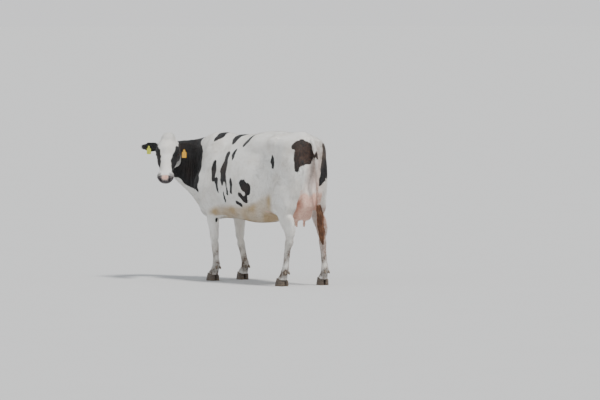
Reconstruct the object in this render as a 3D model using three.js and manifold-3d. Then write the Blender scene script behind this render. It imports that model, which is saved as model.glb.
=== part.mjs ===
// A standing Holstein dairy cow at life size, looking back over its left shoulder.
// Millimetres, +Z up. The cow faces -Y, its left side is +X and its claws stand on z = 0.
//
// The body is one smooth field: negative inside, positive outside, in millimetres near the skin. Each piece of the
// body is meshed from that field in its own box and parted from its neighbours with thin cuts.

import * as THREE from "three";
import { LoftGeometry } from "three/addons/geometries/LoftGeometry.js";
import { mergeVertices } from "three/addons/utils/BufferGeometryUtils.js";
import Module from "manifold-3d";

const wasm = await Module();
wasm.setup();

// ---------------------------------------------------------------- driving dimensions

const CUT = 0.4; // width of the gap between neighbouring pieces
const FAR = 6000; // a cutting block larger than the cow
const REACH = 150; // how far from its own surface a shape still takes part in a blend

const WITHERS_Z = 1468; // height at the withers
const HIP_Z = 1484; // height over the hip bones
const CHEST_FLOOR_Z = 618; // underside of the chest
const BELLY_FLOOR_Z = 594; // underside of the barrel
const HOOK = [222, 620, 1396]; // middle of a hook bone
const PIN = [106, 990, 1366]; // middle of a pin bone
const BEND_RADIUS = 7000; // the back curves a little to the left, as the cow looks round

const HEAD_YAW = 136; // degrees the face is turned to the left, from straight ahead
const HEAD_PITCH = 48; // degrees the nose points below the horizontal
const POLL = [413, -866, 1420]; // where the skull meets the neck

// ---------------------------------------------------------------- fields

const clamp = (v, low, high) => Math.min(high, Math.max(low, v));
const mix = (a, b, t) => a + (b - a) * t;

// Joins two fields with a fillet about k wide.
function join(a, b, k) {
  const h = Math.max(k - Math.abs(a - b), 0) / k;
  return Math.min(a, b) - (h * h * k) / 4;
}

// Takes b away from a with a rounded edge.
const carve = (a, b, k) => -join(-a, b, k);

// About how far a point is from a section with half-widths a and b: u and v are its offsets, power 2 is an ellipse.
function sectionDistance(u, v, w, a, b, c, power) {
  const x = Math.abs(u) / a;
  const y = Math.abs(v) / b;
  const z = Math.abs(w) / c;
  const xp = x ** power;
  const yp = y ** power;
  const zp = z ** power;
  const rho = (xp + yp + zp) ** (1 / power);
  if (rho < 1e-6) return -Math.min(a, b, c);
  const scale = rho ** (power - 1);
  const gx = x > 1e-9 ? xp / x / scale / a : 0;
  const gy = y > 1e-9 ? yp / y / scale / b : 0;
  const gz = z > 1e-9 ? zp / z / scale / c : 0;
  return (rho - 1) / Math.max(Math.hypot(gx, gy, gz), 1e-6);
}

// A field with the box outside which it can't matter, so that far points cost nothing.
function bounded(box, at) {
  const { min, max } = box.clone().expandByScalar(REACH);
  return (p) => {
    const dx = Math.max(min.x - p.x, p.x - max.x, 0);
    const dy = Math.max(min.y - p.y, p.y - max.y, 0);
    const dz = Math.max(min.z - p.z, p.z - max.z, 0);
    if (dx || dy || dz) return REACH + Math.hypot(dx, dy, dz);
    return Math.min(at(p), REACH * 4);
  };
}

// An ellipsoid of muscle, bone or fat. turn is its rotation in degrees about X, Y and Z.
function lump([x, y, z], [a, b, c], turn = [0, 0, 0]) {
  const centre = new THREE.Vector3(x, y, z);
  const angles = turn.map(THREE.MathUtils.degToRad);
  const back = new THREE.Matrix4().makeRotationFromEuler(new THREE.Euler(...angles)).invert();
  const q = new THREE.Vector3();
  const reach = Math.max(a, b, c);
  const box = new THREE.Box3().setFromCenterAndSize(centre, new THREE.Vector3(2, 2, 2).multiplyScalar(reach));
  return bounded(box, (p) => {
    q.copy(p).sub(centre).applyMatrix4(back);
    return sectionDistance(q.x, q.y, q.z, a, b, c, 2);
  });
}

// A neck, limb, tail or head: sections along a smooth spine. A station is [x, y, z, side, front, back]: the spine's
// place, the half-width, and the half-depths towards front and away from it.
function limb(stations, front, { power = 2, steps = 5 } = {}) {
  const places = new THREE.CatmullRomCurve3(stations.map(([x, y, z]) => new THREE.Vector3(x, y, z)));
  const sizes = new THREE.CatmullRomCurve3(stations.map((s) => new THREE.Vector3(s[3], s[4], s[5])));
  const count = (stations.length - 1) * steps;
  const fronts = Array.isArray(front[0]) ? front : [front, front];
  const nodes = [];
  for (let i = 0; i <= count; i++) {
    const t = i / count;
    const along = places.getTangent(t);
    const f = t * (fronts.length - 1);
    const low = Math.min(Math.floor(f), fronts.length - 2);
    const hint = new THREE.Vector3(...fronts[low]).lerp(new THREE.Vector3(...fronts[low + 1]), f - low);
    const ahead = hint.addScaledVector(along, -hint.dot(along)).normalize();
    nodes.push({ at: places.getPoint(t), along, ahead, size: sizes.getPoint(t) });
  }
  const reach = Math.max(...stations.map((s) => Math.max(s[3], s[4], s[5])));
  const box = new THREE.Box3().setFromPoints(nodes.map((n) => n.at)).expandByScalar(reach);
  const d = new THREE.Vector3();
  return bounded(box, (p) => {
    let best = Infinity;
    let segment = 0;
    let share = 0;
    for (let i = 0; i < count; i++) {
      const a = nodes[i].at;
      const b = nodes[i + 1].at;
      const bx = b.x - a.x;
      const by = b.y - a.y;
      const bz = b.z - a.z;
      const t = clamp(
        ((p.x - a.x) * bx + (p.y - a.y) * by + (p.z - a.z) * bz) / (bx * bx + by * by + bz * bz), 0, 1);
      const far = (p.x - a.x - bx * t) ** 2 + (p.y - a.y - by * t) ** 2 + (p.z - a.z - bz * t) ** 2;
      if (far < best) {
        best = far;
        segment = i;
        share = t;
      }
    }
    const a = nodes[segment];
    const b = nodes[segment + 1];
    d.set(p.x - mix(a.at.x, b.at.x, share), p.y - mix(a.at.y, b.at.y, share), p.z - mix(a.at.z, b.at.z, share));
    const ax = mix(a.ahead.x, b.ahead.x, share);
    const ay = mix(a.ahead.y, b.ahead.y, share);
    const az = mix(a.ahead.z, b.ahead.z, share);
    const tx = mix(a.along.x, b.along.x, share);
    const ty = mix(a.along.y, b.along.y, share);
    const tz = mix(a.along.z, b.along.z, share);
    const depth = d.x * ax + d.y * ay + d.z * az;
    const over = d.x * tx + d.y * ty + d.z * tz;
    const wide = Math.sqrt(Math.max(d.lengthSq() - depth * depth - over * over, 0));
    const side = mix(a.size.x, b.size.x, share);
    const half = depth > 0 ? mix(a.size.y, b.size.y, share) : mix(a.size.z, b.size.z, share);
    const cap = (segment === 0 && share === 0) || (segment === count - 1 && share === 1);
    return sectionDistance(wide, depth, cap ? over : 0, side, half, Math.min(side, half), power);
  });
}

// The trunk: upright sections across the Y axis. A station is [y, middle z, half-width, top z, bottom z, upper
// power, lower power], and between stations each number runs on a smooth curve.
function barrel(stations) {
  const ys = stations.map((s) => s[0]);
  const slopes = stations[0].map((_, k) =>
    stations.map((s, i) => {
      const a = stations[Math.max(i - 1, 0)];
      const b = stations[Math.min(i + 1, stations.length - 1)];
      return (b[k] - a[k]) / (b[0] - a[0]);
    }));
  const first = ys[0];
  const last = ys[ys.length - 1];
  const widest = Math.max(...stations.map((s) => s[2]));
  const box = new THREE.Box3(
    new THREE.Vector3(-widest, first - 60, Math.min(...stations.map((s) => s[4]))),
    new THREE.Vector3(widest, last + 60, Math.max(...stations.map((s) => s[3]))));
  const value = (k, i, t, span) => {
    const a = stations[i][k];
    const b = stations[i + 1][k];
    const m = slopes[k][i] * span;
    const n = slopes[k][i + 1] * span;
    return (((2 * (a - b) + m + n) * t + (3 * (b - a) - 2 * m - n)) * t + m) * t + a;
  };
  return bounded(box, (p) => {
    const y = clamp(p.y, first, last);
    let i = 0;
    while (i < ys.length - 2 && y > ys[i + 1]) i++;
    const span = ys[i + 1] - ys[i];
    const t = (y - ys[i]) / span;
    const [middle, half, top, bottom, upper, lower] = [1, 2, 3, 4, 5, 6].map((k) => value(k, i, t, span));
    const above = p.z > middle;
    const over = p.y - y;
    return sectionDistance(p.x, p.z - middle, over, half, above ? top - middle : middle - bottom, 60,
      above ? upper : lower);
  });
}

const mirror = ([x, ...rest]) => [-x, ...rest];

// ---------------------------------------------------------------- the trunk

// Chest, barrel and rump, from the brisket to the pin bones.
const trunkStations = [
  [-700, 900, 100, 1150, 700, 2, 2],
  [-630, 925, 168, 1310, 640, 1.9, 2],
  [-540, 950, 206, 1430, CHEST_FLOOR_Z, 1.7, 2.1],
  [-430, 960, 238, WITHERS_Z - 2, CHEST_FLOOR_Z, 1.5, 2.1],
  [-300, 955, 282, WITHERS_Z - 8, CHEST_FLOOR_Z + 2, 1.5, 2.15],
  [-120, 945, 324, WITHERS_Z - 6, CHEST_FLOOR_Z - 4, 1.65, 2.2],
  [60, 940, 348, WITHERS_Z, BELLY_FLOOR_Z, 1.8, 2.2],
  [220, 950, 350, HIP_Z - 12, BELLY_FLOOR_Z, 1.9, 2.2],
  [380, 980, 316, HIP_Z - 8, BELLY_FLOOR_Z + 24, 2, 2.1],
  [520, 1040, 264, HIP_Z - 4, 690, 2.1, 2],
  [640, 1090, 228, HIP_Z, 790, 2.1, 2],
  [760, 1120, 196, HIP_Z, 860, 1.9, 2],
  [870, 1140, 156, HIP_Z - 8, 930, 1.8, 2],
  [955, 1150, 114, HIP_Z - 46, 1000, 1.8, 2],
];

// Muscles and bony corners that show under the skin, each on both sides, with the width of the fillet round it.
const pairedLumps = [
  // the shoulder
  { at: [142, -440, 1196], size: [64, 104, 215], turn: [-14, -10, 0], blend: 100 }, // shoulder blade
  { at: [180, -590, 955], size: [66, 84, 98], turn: [0, 0, 0], blend: 90 }, // point of the shoulder
  { at: [188, -450, 900], size: [72, 150, 160], turn: [18, 0, 0], blend: 80 }, // triceps
  { at: [62, -610, 730], size: [80, 95, 100], turn: [0, 0, 0], blend: 80 }, // breast
  // the loin and rump
  { at: [106, 380, 1388], size: [122, 240, 80], turn: [0, 8, 0], blend: 110 }, // short ribs of the loin
  { at: HOOK, size: [50, 66, 54], turn: [0, 20, 0], blend: 90 }, // hook bone
  { at: [112, 770, 1398], size: [96, 190, 66], turn: [-3, 10, 8], blend: 90 }, // rump
  { at: PIN, size: [44, 56, 50], turn: [0, 0, 0], blend: 80 }, // pin bone
  { at: [146, 840, 1220], size: [84, 160, 180], turn: [0, 0, 0], blend: 90 }, // hip joint
  { at: [164, 800, 1040], size: [76, 186, 240], turn: [8, 0, 0], blend: 90 }, // thigh
  { at: [186, 710, 900], size: [64, 130, 190], turn: [-16, 0, 0], blend: 90 }, // front of the thigh
  { at: [214, 560, 800], size: [40, 120, 120], turn: [-24, 0, 0], blend: 100 }, // flank fold
];

// ---------------------------------------------------------------- the neck

// The neck runs forward out of the chest and turns back to the left, through most of a half circle, to the skull.
const TURN = { centre: [196, -811], radius: 190 };
const turned = (degrees) => [
  TURN.centre[0] - TURN.radius * Math.cos(THREE.MathUtils.degToRad(degrees)),
  TURN.centre[1] - TURN.radius * Math.sin(THREE.MathUtils.degToRad(degrees)),
];
const neckStations = [
  [16, -400, 1120, 160, 300, 400],
  [14, -540, 1110, 158, 358, 430],
  [10, -680, 1115, 138, 346, 380],
  [...turned(0), 1130, 122, 308, 330],
  [...turned(35), 1155, 112, 262, 265],
  [...turned(70), 1190, 104, 208, 190],
  [...turned(105), 1235, 96, 165, 155],
  [...turned(135), 1290, 88, 120, 130],
  [374, -908, 1325, 78, 90, 95],
];
// The loose skin under the throat and down to the brisket.
const dewlapStations = [
  [262, -984, 1116, 36, 46, 60],
  [...turned(72), 1022, 40, 64, 80],
  [...turned(36), 914, 44, 68, 90],
  [14, -815, 790, 50, 72, 100],
  [14, -720, 724, 58, 72, 100],
  [18, -630, 690, 64, 70, 90],
];

// ---------------------------------------------------------------- the legs

// A leg's posture is given by its joints; the sizes along it are those of the breed.
const posture = {
  foreleg_left: { side: 1, elbow: [176, -425, 700], knee: [170, -400, 395], fetlock: [168, -382, 150],
    foot: [168, -424], toe: 4 },
  foreleg_right: { side: -1, elbow: [-176, -445, 700], knee: [-172, -426, 395], fetlock: [-182, -362, 150],
    foot: [-186, -402], toe: 6 },
  hindleg_left: { side: 1, stifle: [214, 700, 800], hock: [200, 884, 520], fetlock: [200, 805, 150],
    foot: [200, 760], toe: 8 },
  hindleg_right: { side: -1, stifle: [-214, 710, 800], hock: [-204, 884, 520], fetlock: [-236, 896, 150],
    foot: [-242, 852], toe: 10 },
};

const between = (a, b, t) => a.map((v, i) => mix(v, b[i], t));
const shifted = (p, x, y, z) => [p[0] + x, p[1] + y, p[2] + z];

function foreleg({ side, elbow, knee, fetlock, foot }) {
  const toe = [foot[0], foot[1], 66];
  const bones = limb([
    [...shifted(elbow, side * 8, -30, 160), 70, 100, 110],
    [...shifted(elbow, side * 6, -20, 60), 66, 88, 96],
    [...shifted(elbow, 0, -10, -30), 58, 70, 72],
    [...between(elbow, knee, 0.45), 50, 58, 56],
    [...between(elbow, knee, 0.75), 42, 46, 42],
    [...between(elbow, knee, 0.9), 44, 45, 38],
    [...knee, 47, 47, 38],
    [...between(knee, fetlock, 0.15), 40, 37, 38],
    [...between(knee, fetlock, 0.4), 31, 31, 36],
    [...between(knee, fetlock, 0.78), 30, 31, 36],
    [...fetlock, 39, 37, 42],
    [...between(fetlock, toe, 0.45), 39, 34, 36],
    [...toe, 52, 46, 46],
    [toe[0], toe[1], 20, 50, 50, 50],
  ], [0, -1, 0], { power: 2.2 });
  const elbowTip = lump(shifted(elbow, side * 8, 66, 24), [34, 42, 54], [0, 0, 0]);
  return (p) => join(bones(p), elbowTip(p), 60);
}

function hindleg({ side, stifle, hock, fetlock, foot }) {
  const toe = [foot[0], foot[1], 66];
  const bones = limb([
    [...shifted(stifle, -side * 10, 50, 90), 68, 120, 150],
    [...shifted(stifle, -side * 6, 60, -20), 64, 92, 130],
    [...shifted(between(stifle, hock, 0.45), -side * 2, 14, 0), 56, 76, 100],
    [...shifted(between(stifle, hock, 0.74), 0, 4, 0), 46, 56, 72],
    [...shifted(hock, 0, -12, 30), 43, 48, 54],
    [...shifted(hock, 0, -4, -34), 42, 46, 46],
    [...between(hock, fetlock, 0.24), 34, 38, 40],
    [...between(hock, fetlock, 0.5), 30, 33, 37],
    [...between(hock, fetlock, 0.8), 30, 32, 37],
    [...fetlock, 40, 38, 43],
    [...between(fetlock, toe, 0.45), 40, 34, 37],
    [...toe, 53, 46, 46],
    [toe[0], toe[1], 20, 50, 50, 50],
  ], [0, -1, 0], { power: 2.2 });
  const hockTip = limb([
    [...shifted(hock, -side * 2, 30, 250), 34, 60, 26],
    [...shifted(hock, 0, 52, 150), 25, 56, 24],
    [...shifted(hock, 0, 72, 60), 28, 48, 24],
    [...shifted(hock, 0, 52, -20), 26, 34, 22],
    [...shifted(hock, 0, 24, -110), 22, 24, 20],
  ], [0, -1, 0]);
  const cap = lump(shifted(stifle, side * 2, -30, -6), [44, 46, 76], [-20, 0, 0]); // kneecap
  return (p) => join(join(bones(p), hockTip(p), 44), cap(p), 60);
}

// The hamstring, from the pin bone down the back of the thigh to the shin.
function hamstring({ side, hock }) {
  return limb([
    [side * PIN[0], PIN[1] - 10, 1330, 42, 50, 50],
    [side * 124, mix(1000, hock[1] + 60, 0.2), 1170, 52, 90, 56],
    [side * 148, mix(1000, hock[1] + 30, 0.5), 1000, 56, 110, 54],
    [side * 180, mix(980, hock[1] + 10, 0.8), 830, 46, 92, 46],
    [side * 194, hock[1] + 6, 690, 36, 60, 36],
  ], [0, -1, 0]);
}

// ---------------------------------------------------------------- udder and tail

const udderLumps = [
  { at: [58, 640, 724], size: [70, 140, 108], turn: [-8, 0, 0], blend: 46 }, // fore quarters
  { at: [52, 806, 750], size: [60, 100, 142], turn: [14, 0, 0], blend: 30 }, // hind quarters
  { at: [44, 912, 930], size: [52, 56, 200], turn: [10, 0, 0], blend: 50 }, // rear attachment
];

// The dock leaves the rump above the pin bones and hangs to the right of the middle, over the right hock.
const dockRootStations = [
  [0, 760, 1466, 46, 38, 50],
  [0, 850, 1472, 42, 37, 50],
  [0, 930, 1456, 36, 33, 44],
  [0, 990, 1420, 31, 29, 34],
];
const dockStations = [
  [0, 900, 1466, 36, 33, 44],
  [0, 960, 1442, 33, 31, 38],
  [-2, 1026, 1386, 28, 27, 30],
  [-8, 1062, 1290, 25, 23, 26],
  [-20, 1068, 1150, 22, 20, 22],
  [-40, 1048, 990, 19, 18, 18],
  [-62, 1022, 860, 17, 15, 16],
  [-82, 1006, 780, 16, 14, 15],
  [-98, 1000, 710, 15, 13, 14],
];
const switchStations = [
  [-78, 1008, 812, 17, 15, 16],
  [-94, 1002, 744, 28, 24, 25],
  [-110, 1000, 660, 35, 29, 30],
  [-122, 1004, 570, 33, 28, 30],
  [-130, 1008, 480, 25, 22, 24],
  [-134, 1008, 400, 11, 9, 9],
];

// ---------------------------------------------------------------- the head

// The head is drawn level, nose towards -Y, with the poll at the origin, and then turned into place.
const headTurn = new THREE.Matrix4()
  .makeTranslation(...POLL)
  .multiply(new THREE.Matrix4().makeRotationZ(THREE.MathUtils.degToRad(HEAD_YAW)))
  .multiply(new THREE.Matrix4().makeRotationX(THREE.MathUtils.degToRad(HEAD_PITCH)));
const headBack = headTurn.clone().invert();

// Forehead to muzzle: [x, y, z, half-width, height above the spine, depth below it].
const skullStations = [
  [0, 2, -76, 70, 62, 66],
  [0, -30, -80, 94, 80, 88],
  [0, -80, -84, 104, 86, 112],
  [0, -130, -92, 104, 84, 128],
  [0, -190, -98, 92, 72, 128],
  [0, -255, -104, 76, 60, 106],
  [0, -315, -108, 67, 53, 84],
  [0, -372, -110, 68, 51, 68],
  [0, -412, -112, 76, 50, 60],
  [0, -438, -114, 71, 44, 50],
];
const headLumps = [
  { at: [0, 16, -16], size: [60, 46, 38], turn: [0, 0, 0], blend: 44 }, // crest of the poll
  { at: [0, -84, -14], size: [72, 76, 24], turn: [0, 0, 0], blend: 40 }, // forehead
  { at: [0, -262, -58], size: [30, 130, 20], turn: [3, 0, 0], blend: 40 }, // bridge of the nose
  { at: [0, -410, -162], size: [50, 48, 26], turn: [0, 0, 0], blend: 26 }, // chin and lower lip
];
const headPairs = [
  { at: [88, -134, -54], size: [34, 42, 32], turn: [0, 0, -10], blend: 34 }, // brow over the eye
  { at: [80, -96, -170], size: [34, 80, 78], turn: [0, 0, 0], blend: 50 }, // cheek
  { at: [70, -196, -122], size: [24, 76, 22], turn: [0, 0, 8], blend: 36 }, // cheekbone
  { at: [52, -420, -100], size: [32, 36, 32], turn: [0, 0, 0], blend: 26 }, // wing of the nostril
  { at: [78, -46, -92], size: [34, 32, 36], turn: [0, 0, 0], blend: 34 }, // root of the ear
];
const EYE = { at: [97, -150, -84], radius: 20, opening: [12, 23, 14], lids: 114 };
const NOSTRIL = { at: [42, -462, -92], size: [12, 18, 20], turn: [-20, 10, 30] };

function headField() {
  const parts = [
    [limb(skullStations, [0, 0, 1], { power: 2.3 }), 1],
    ...headLumps.map((l) => [lump(l.at, l.size, l.turn), l.blend]),
    ...headPairs.flatMap(({ at, size, turn: [rx, ry, rz], blend }) => [
      [lump(at, size, [rx, ry, rz]), blend],
      [lump(mirror(at), size, [rx, -ry, -rz]), blend],
    ]),
  ];
  const q = new THREE.Vector3();
  const box = new THREE.Box3(new THREE.Vector3(-150, -530, -260), new THREE.Vector3(150, 90, 50));
  return bounded(box.applyMatrix4(headTurn), (p) => {
    q.copy(p).applyMatrix4(headBack);
    return parts.reduce((f, [shape, k]) => join(f, shape(q), k), REACH * 4);
  });
}

// ---------------------------------------------------------------- the whole body

const legFields = Object.fromEntries(Object.entries(posture).map(([name, joints]) => {
  const [bones, ham] = name.startsWith("fore") ? [foreleg(joints), null] : [hindleg(joints), hamstring(joints)];
  return [name, ham ? (p) => join(bones(p), ham(p), 50) : bones];
}));

// The back is bent: everything but the neck and head is drawn straight and pushed to the left by this much.
const bendAt = (y) => (y * y) / (2 * BEND_RADIUS);

function bothSides(lumps) {
  return lumps.flatMap(({ at, size, turn: [rx, ry, rz], blend }) => [
    [lump(at, size, [rx, ry, rz]), blend],
    [lump(mirror(at), size, [rx, -ry, -rz]), blend],
  ]);
}

function bodyField() {
  const bent = [
    [barrel(trunkStations), 1],
    ...bothSides(pairedLumps),
    ...Object.values(legFields).map((f) => [f, 60]),
    ...bothSides(udderLumps),
    [limb(dockRootStations, [[0, 0, 1], [0, 0.4, 0.9]]), 40],
  ];
  const free = [
    [limb(neckStations, [0, 0, 1], { power: 1.8 }), 110],
    [limb(dewlapStations, [0, -0.5, -1]), 80],
    [headField(), 70],
  ];
  const q = new THREE.Vector3();
  return (p) => {
    q.set(p.x - bendAt(p.y), p.y, p.z);
    const f = bent.reduce((sum, [shape, k]) => join(sum, shape(q), k), REACH * 4);
    return free.reduce((sum, [shape, k]) => join(sum, shape(p), k), f);
  };
}
const body = bodyField();

// ---------------------------------------------------------------- meshing

// The grid lines along one axis of a box, about step apart.
function gridLines(low, high, step) {
  const count = Math.max(2, Math.ceil((high - low) / step));
  return Array.from({ length: count + 1 }, (_, i) => low + ((high - low) * i) / count);
}

// A cell's corners are numbered 0 to 7: bit 1 is its high X side, bit 2 its high Y side and bit 4 its high Z side.
const cornerPairs = (masks) => masks.flatMap((mask) =>
  [0, 1, 2, 3, 4, 5, 6, 7].filter((c) => c < (c ^ mask)).map((c) => [c, c ^ mask]));
const CELL_EDGES = cornerPairs([1, 2, 4]);
const CELL_DIAGONALS = cornerPairs([3, 5, 6]);

// Which corners of a cell hang together, among those inside the body or among those outside it.
function cornerGroups(corners, inside) {
  const group = [0, 1, 2, 3, 4, 5, 6, 7];
  const pairs = inside ? CELL_EDGES : [...CELL_EDGES, ...CELL_DIAGONALS];
  for (let pass = 0; pass < 7; pass++)
    for (const [a, b] of pairs) {
      if (corners[a] < 0 !== inside || corners[b] < 0 !== inside) continue;
      group[a] = Math.min(group[a], group[b]);
      group[b] = group[a];
    }
  return group;
}

// The surface of a field in a box, as a closed mesh: a vertex for each sheet of the surface in each cell, moved onto
// the surface, and one quad for each grid edge that crosses it. cell is the size of a cell along X, Y and Z.
function surfaceOf(field, low, high, cell) {
  const lines = [0, 1, 2].map((k) => gridLines(low[k], high[k], cell[k]));
  const [nx, ny, nz] = lines.map((l) => l.length);
  const p = new THREE.Vector3();
  const values = new Float64Array(nx * ny * nz);
  const index = (i, j, k) => (i * ny + j) * nz + k;
  for (let i = 0; i < nx; i++)
    for (let j = 0; j < ny; j++)
      for (let k = 0; k < nz; k++) {
        const edge = i === 0 || j === 0 || k === 0 || i === nx - 1 || j === ny - 1 || k === nz - 1;
        const f = field(p.set(lines[0][i], lines[1][j], lines[2][k]));
        values[index(i, j, k)] = edge ? Math.max(f, 1) : f;
      }
  const vertexOf = new Map();
  const positions = [];
  const g = new THREE.Vector3();
  const H = 1.5;
  function settle(v) {
    const start = v.clone();
    const leash = 0.7 * Math.min(...cell);
    for (let n = 0; n < 4; n++) {
      const f = field(v);
      g.set(
        field(p.copy(v).setX(v.x + H)) - f,
        field(p.copy(v).setY(v.y + H)) - f,
        field(p.copy(v).setZ(v.z + H)) - f).divideScalar(H);
      const slope = g.lengthSq();
      if (slope < 1e-6) return;
      v.addScaledVector(g, -clamp(f, -20, 20) / Math.max(slope, 0.2));
    }
    v.sub(start).clampLength(0, leash).add(start);
  }
  for (let i = 0; i < nx - 1; i++)
    for (let j = 0; j < ny - 1; j++)
      for (let k = 0; k < nz - 1; k++) {
        const corners = [];
        for (let c = 0; c < 8; c++)
          corners.push(values[index(i + (c & 1), j + ((c >> 1) & 1), k + (c >> 2))]);
        if (corners.every((v) => v < 0) || corners.every((v) => v >= 0)) continue;
        const insides = cornerGroups(corners, true);
        const outsides = cornerGroups(corners, false);
        const sheets = new Map();
        for (const [a, b] of CELL_EDGES) {
          if (corners[a] < 0 === corners[b] < 0) continue;
          const key = corners[a] < 0 ? insides[a] * 8 + outsides[b] : insides[b] * 8 + outsides[a];
          if (!sheets.has(key)) sheets.set(key, { sum: new THREE.Vector3(), edges: [] });
          const { sum, edges } = sheets.get(key);
          const at = [a & 1, (a >> 1) & 1, a >> 2];
          at[(a ^ b) >> 1] = corners[a] / (corners[a] - corners[b]);
          sum.x += mix(lines[0][i], lines[0][i + 1], at[0]);
          sum.y += mix(lines[1][j], lines[1][j + 1], at[1]);
          sum.z += mix(lines[2][k], lines[2][k + 1], at[2]);
          edges.push(a * 8 + b);
        }
        const inside = i > 0 && j > 0 && k > 0 && i < nx - 2 && j < ny - 2 && k < nz - 2;
        const vertices = new Map();
        for (const { sum, edges } of sheets.values()) {
          sum.divideScalar(edges.length);
          if (inside) settle(sum);
          for (const edge of edges) vertices.set(edge, positions.length / 3);
          positions.push(sum.x, sum.y, sum.z);
        }
        vertexOf.set(index(i, j, k), vertices);
      }
  const triangles = [];
  const strides = [index(1, 0, 0), index(0, 1, 0), index(0, 0, 1)];
  for (let i = 0; i < nx; i++)
    for (let j = 0; j < ny; j++)
      for (let k = 0; k < nz; k++) {
        const here = index(i, j, k);
        const place = [i, j, k];
        for (let axis = 0; axis < 3; axis++) {
          const u = (axis + 1) % 3;
          const w = (axis + 2) % 3;
          if (place[axis] === lines[axis].length - 1 || place[u] === 0 || place[w] === 0) continue;
          const inside = values[here] < 0;
          if (inside === values[here + strides[axis]] < 0) continue;
          const quad = [0, 1 << u, (1 << u) | (1 << w), 1 << w].map((corner) => {
            const cellIndex = here - (corner & (1 << u) ? strides[u] : 0) - (corner & (1 << w) ? strides[w] : 0);
            return vertexOf.get(cellIndex).get(corner * 8 + (corner | (1 << axis)));
          });
          if (!inside) quad.reverse();
          const [a, b, c, d] = quad;
          const at = (n) => new THREE.Vector3(...positions.slice(3 * n, 3 * n + 3));
          if (at(a).distanceTo(at(c)) < at(b).distanceTo(at(d))) triangles.push(a, b, c, a, c, d);
          else triangles.push(b, c, d, b, d, a);
        }
      }
  return new wasm.Manifold(new wasm.Mesh({
    numProp: 3,
    vertProperties: new Float32Array(positions),
    triVerts: new Uint32Array(triangles),
  }));
}

// A closed three.js geometry as a solid that can be cut and joined.
function solidOf(geometry) {
  const bare = new THREE.BufferGeometry();
  bare.setAttribute("position", geometry.getAttribute("position"));
  bare.setIndex(geometry.index);
  const merged = mergeVertices(bare, 1e-3);
  return new wasm.Manifold(new wasm.Mesh({
    numProp: 3,
    vertProperties: merged.attributes.position.array,
    triVerts: new Uint32Array(merged.index.array),
  }));
}

function geometryOf(solid) {
  const mesh = solid.getMesh();
  const places = new Float32Array(mesh.numVert * 3);
  for (let i = 0; i < mesh.numVert; i++)
    places.set(mesh.vertProperties.subarray(i * mesh.numProp, i * mesh.numProp + 3), i * 3);
  const geometry = new THREE.BufferGeometry();
  geometry.setAttribute("position", new THREE.BufferAttribute(places, 3));
  geometry.setIndex(new THREE.BufferAttribute(new Uint32Array(mesh.triVerts), 1));
  return geometry;
}

// Everything on the far side of a plane, from back off it by half a cut.
function beyond(point, normal, backOff = CUT / 2) {
  const n = new THREE.Vector3(...normal).normalize();
  const centre = new THREE.Vector3(...point).addScaledVector(n, FAR / 2 + backOff);
  const turn = new THREE.Quaternion().setFromUnitVectors(new THREE.Vector3(0, 0, 1), n);
  return solidOf(new THREE.BoxGeometry(FAR, FAR, FAR)
    .applyMatrix4(new THREE.Matrix4().compose(centre, turn, new THREE.Vector3(1, 1, 1))));
}
const within = (point, normal) => beyond(point, normal.map((v) => -v));

// The region of a leg: an outline in the side view, [y, z], pushed outwards from the plane x = inner.
function sideRegion(outline, inner, side, grow) {
  const flat = outline.map(([y, z]) => new THREE.Vector3(y, z, 0));
  const points = new THREE.CatmullRomCurve3(flat, true, "centripetal").getPoints(28).slice(0, -1);
  const turn = Math.sign(THREE.ShapeUtils.area(points));
  const grown = points.map((q, i) => {
    const along = points[(i + 1) % points.length].clone().sub(points.at(i - 1)).normalize();
    return new THREE.Vector2(q.x + along.y * turn * grow, q.y - along.x * turn * grow);
  });
  const depth = FAR / 8;
  const slab = new THREE.ExtrudeGeometry(new THREE.Shape(grown), { depth, bevelEnabled: false });
  const upright = new THREE.Matrix4().makeBasis(
    new THREE.Vector3(0, 1, 0), new THREE.Vector3(0, 0, 1), new THREE.Vector3(1, 0, 0));
  return solidOf(slab.applyMatrix4(upright).translate(side > 0 ? inner - grow : inner + grow - depth, 0, 0));
}

// ---------------------------------------------------------------- pieces

const cow = new THREE.Group();

const whiteHair = { color: 0xe9e4dc, roughness: 0.85, metalness: 0 };
const blackHair = { color: 0x17130f, roughness: 0.8, metalness: 0 };
const pinkSkin = { color: 0xd9a08c, roughness: 0.6, metalness: 0 };
const hoofHorn = { color: 0x4a3f35, roughness: 0.45, metalness: 0 };
const darkEye = { color: 0x120c0a, roughness: 0.08, metalness: 0 };
const tagPlastic = { color: 0xf2c51c, roughness: 0.4, metalness: 0 };
const stainedHair = { color: 0x7d4a2a, roughness: 0.9, metalness: 0 };

// The cuts leave some very short edges. Their ends are brought together.
function withoutShortEdges(geometry) {
  const merged = mergeVertices(geometry, 0.05);
  const index = merged.index.array;
  const kept = [];
  for (let i = 0; i < index.length; i += 3) {
    const [a, b, c] = index.subarray(i, i + 3);
    if (a !== b && b !== c && c !== a) kept.push(a, b, c);
  }
  return merged.setIndex(kept);
}

function place(name, solid, look) {
  const geometry = withoutShortEdges(geometryOf(solid));
  const mesh = new THREE.Mesh(geometry, new THREE.MeshStandardMaterial(look));
  mesh.name = name;
  cow.add(mesh);
}

const largest = (solid) => solid.decompose().reduce((a, b) => (a.volume() > b.volume() ? a : b));

// A piece of the body: its surface in a box, kept where every keeper is and cleared where any cutter is.
function flesh(low, high, cell, { keep = [], clear = [], field = body } = {}) {
  let solid = surfaceOf(field, low, high, cell);
  for (const region of keep) solid = solid.intersect(region);
  for (const region of clear) solid = solid.subtract(region);
  return largest(solid);
}

// ---- where the body is parted

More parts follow.
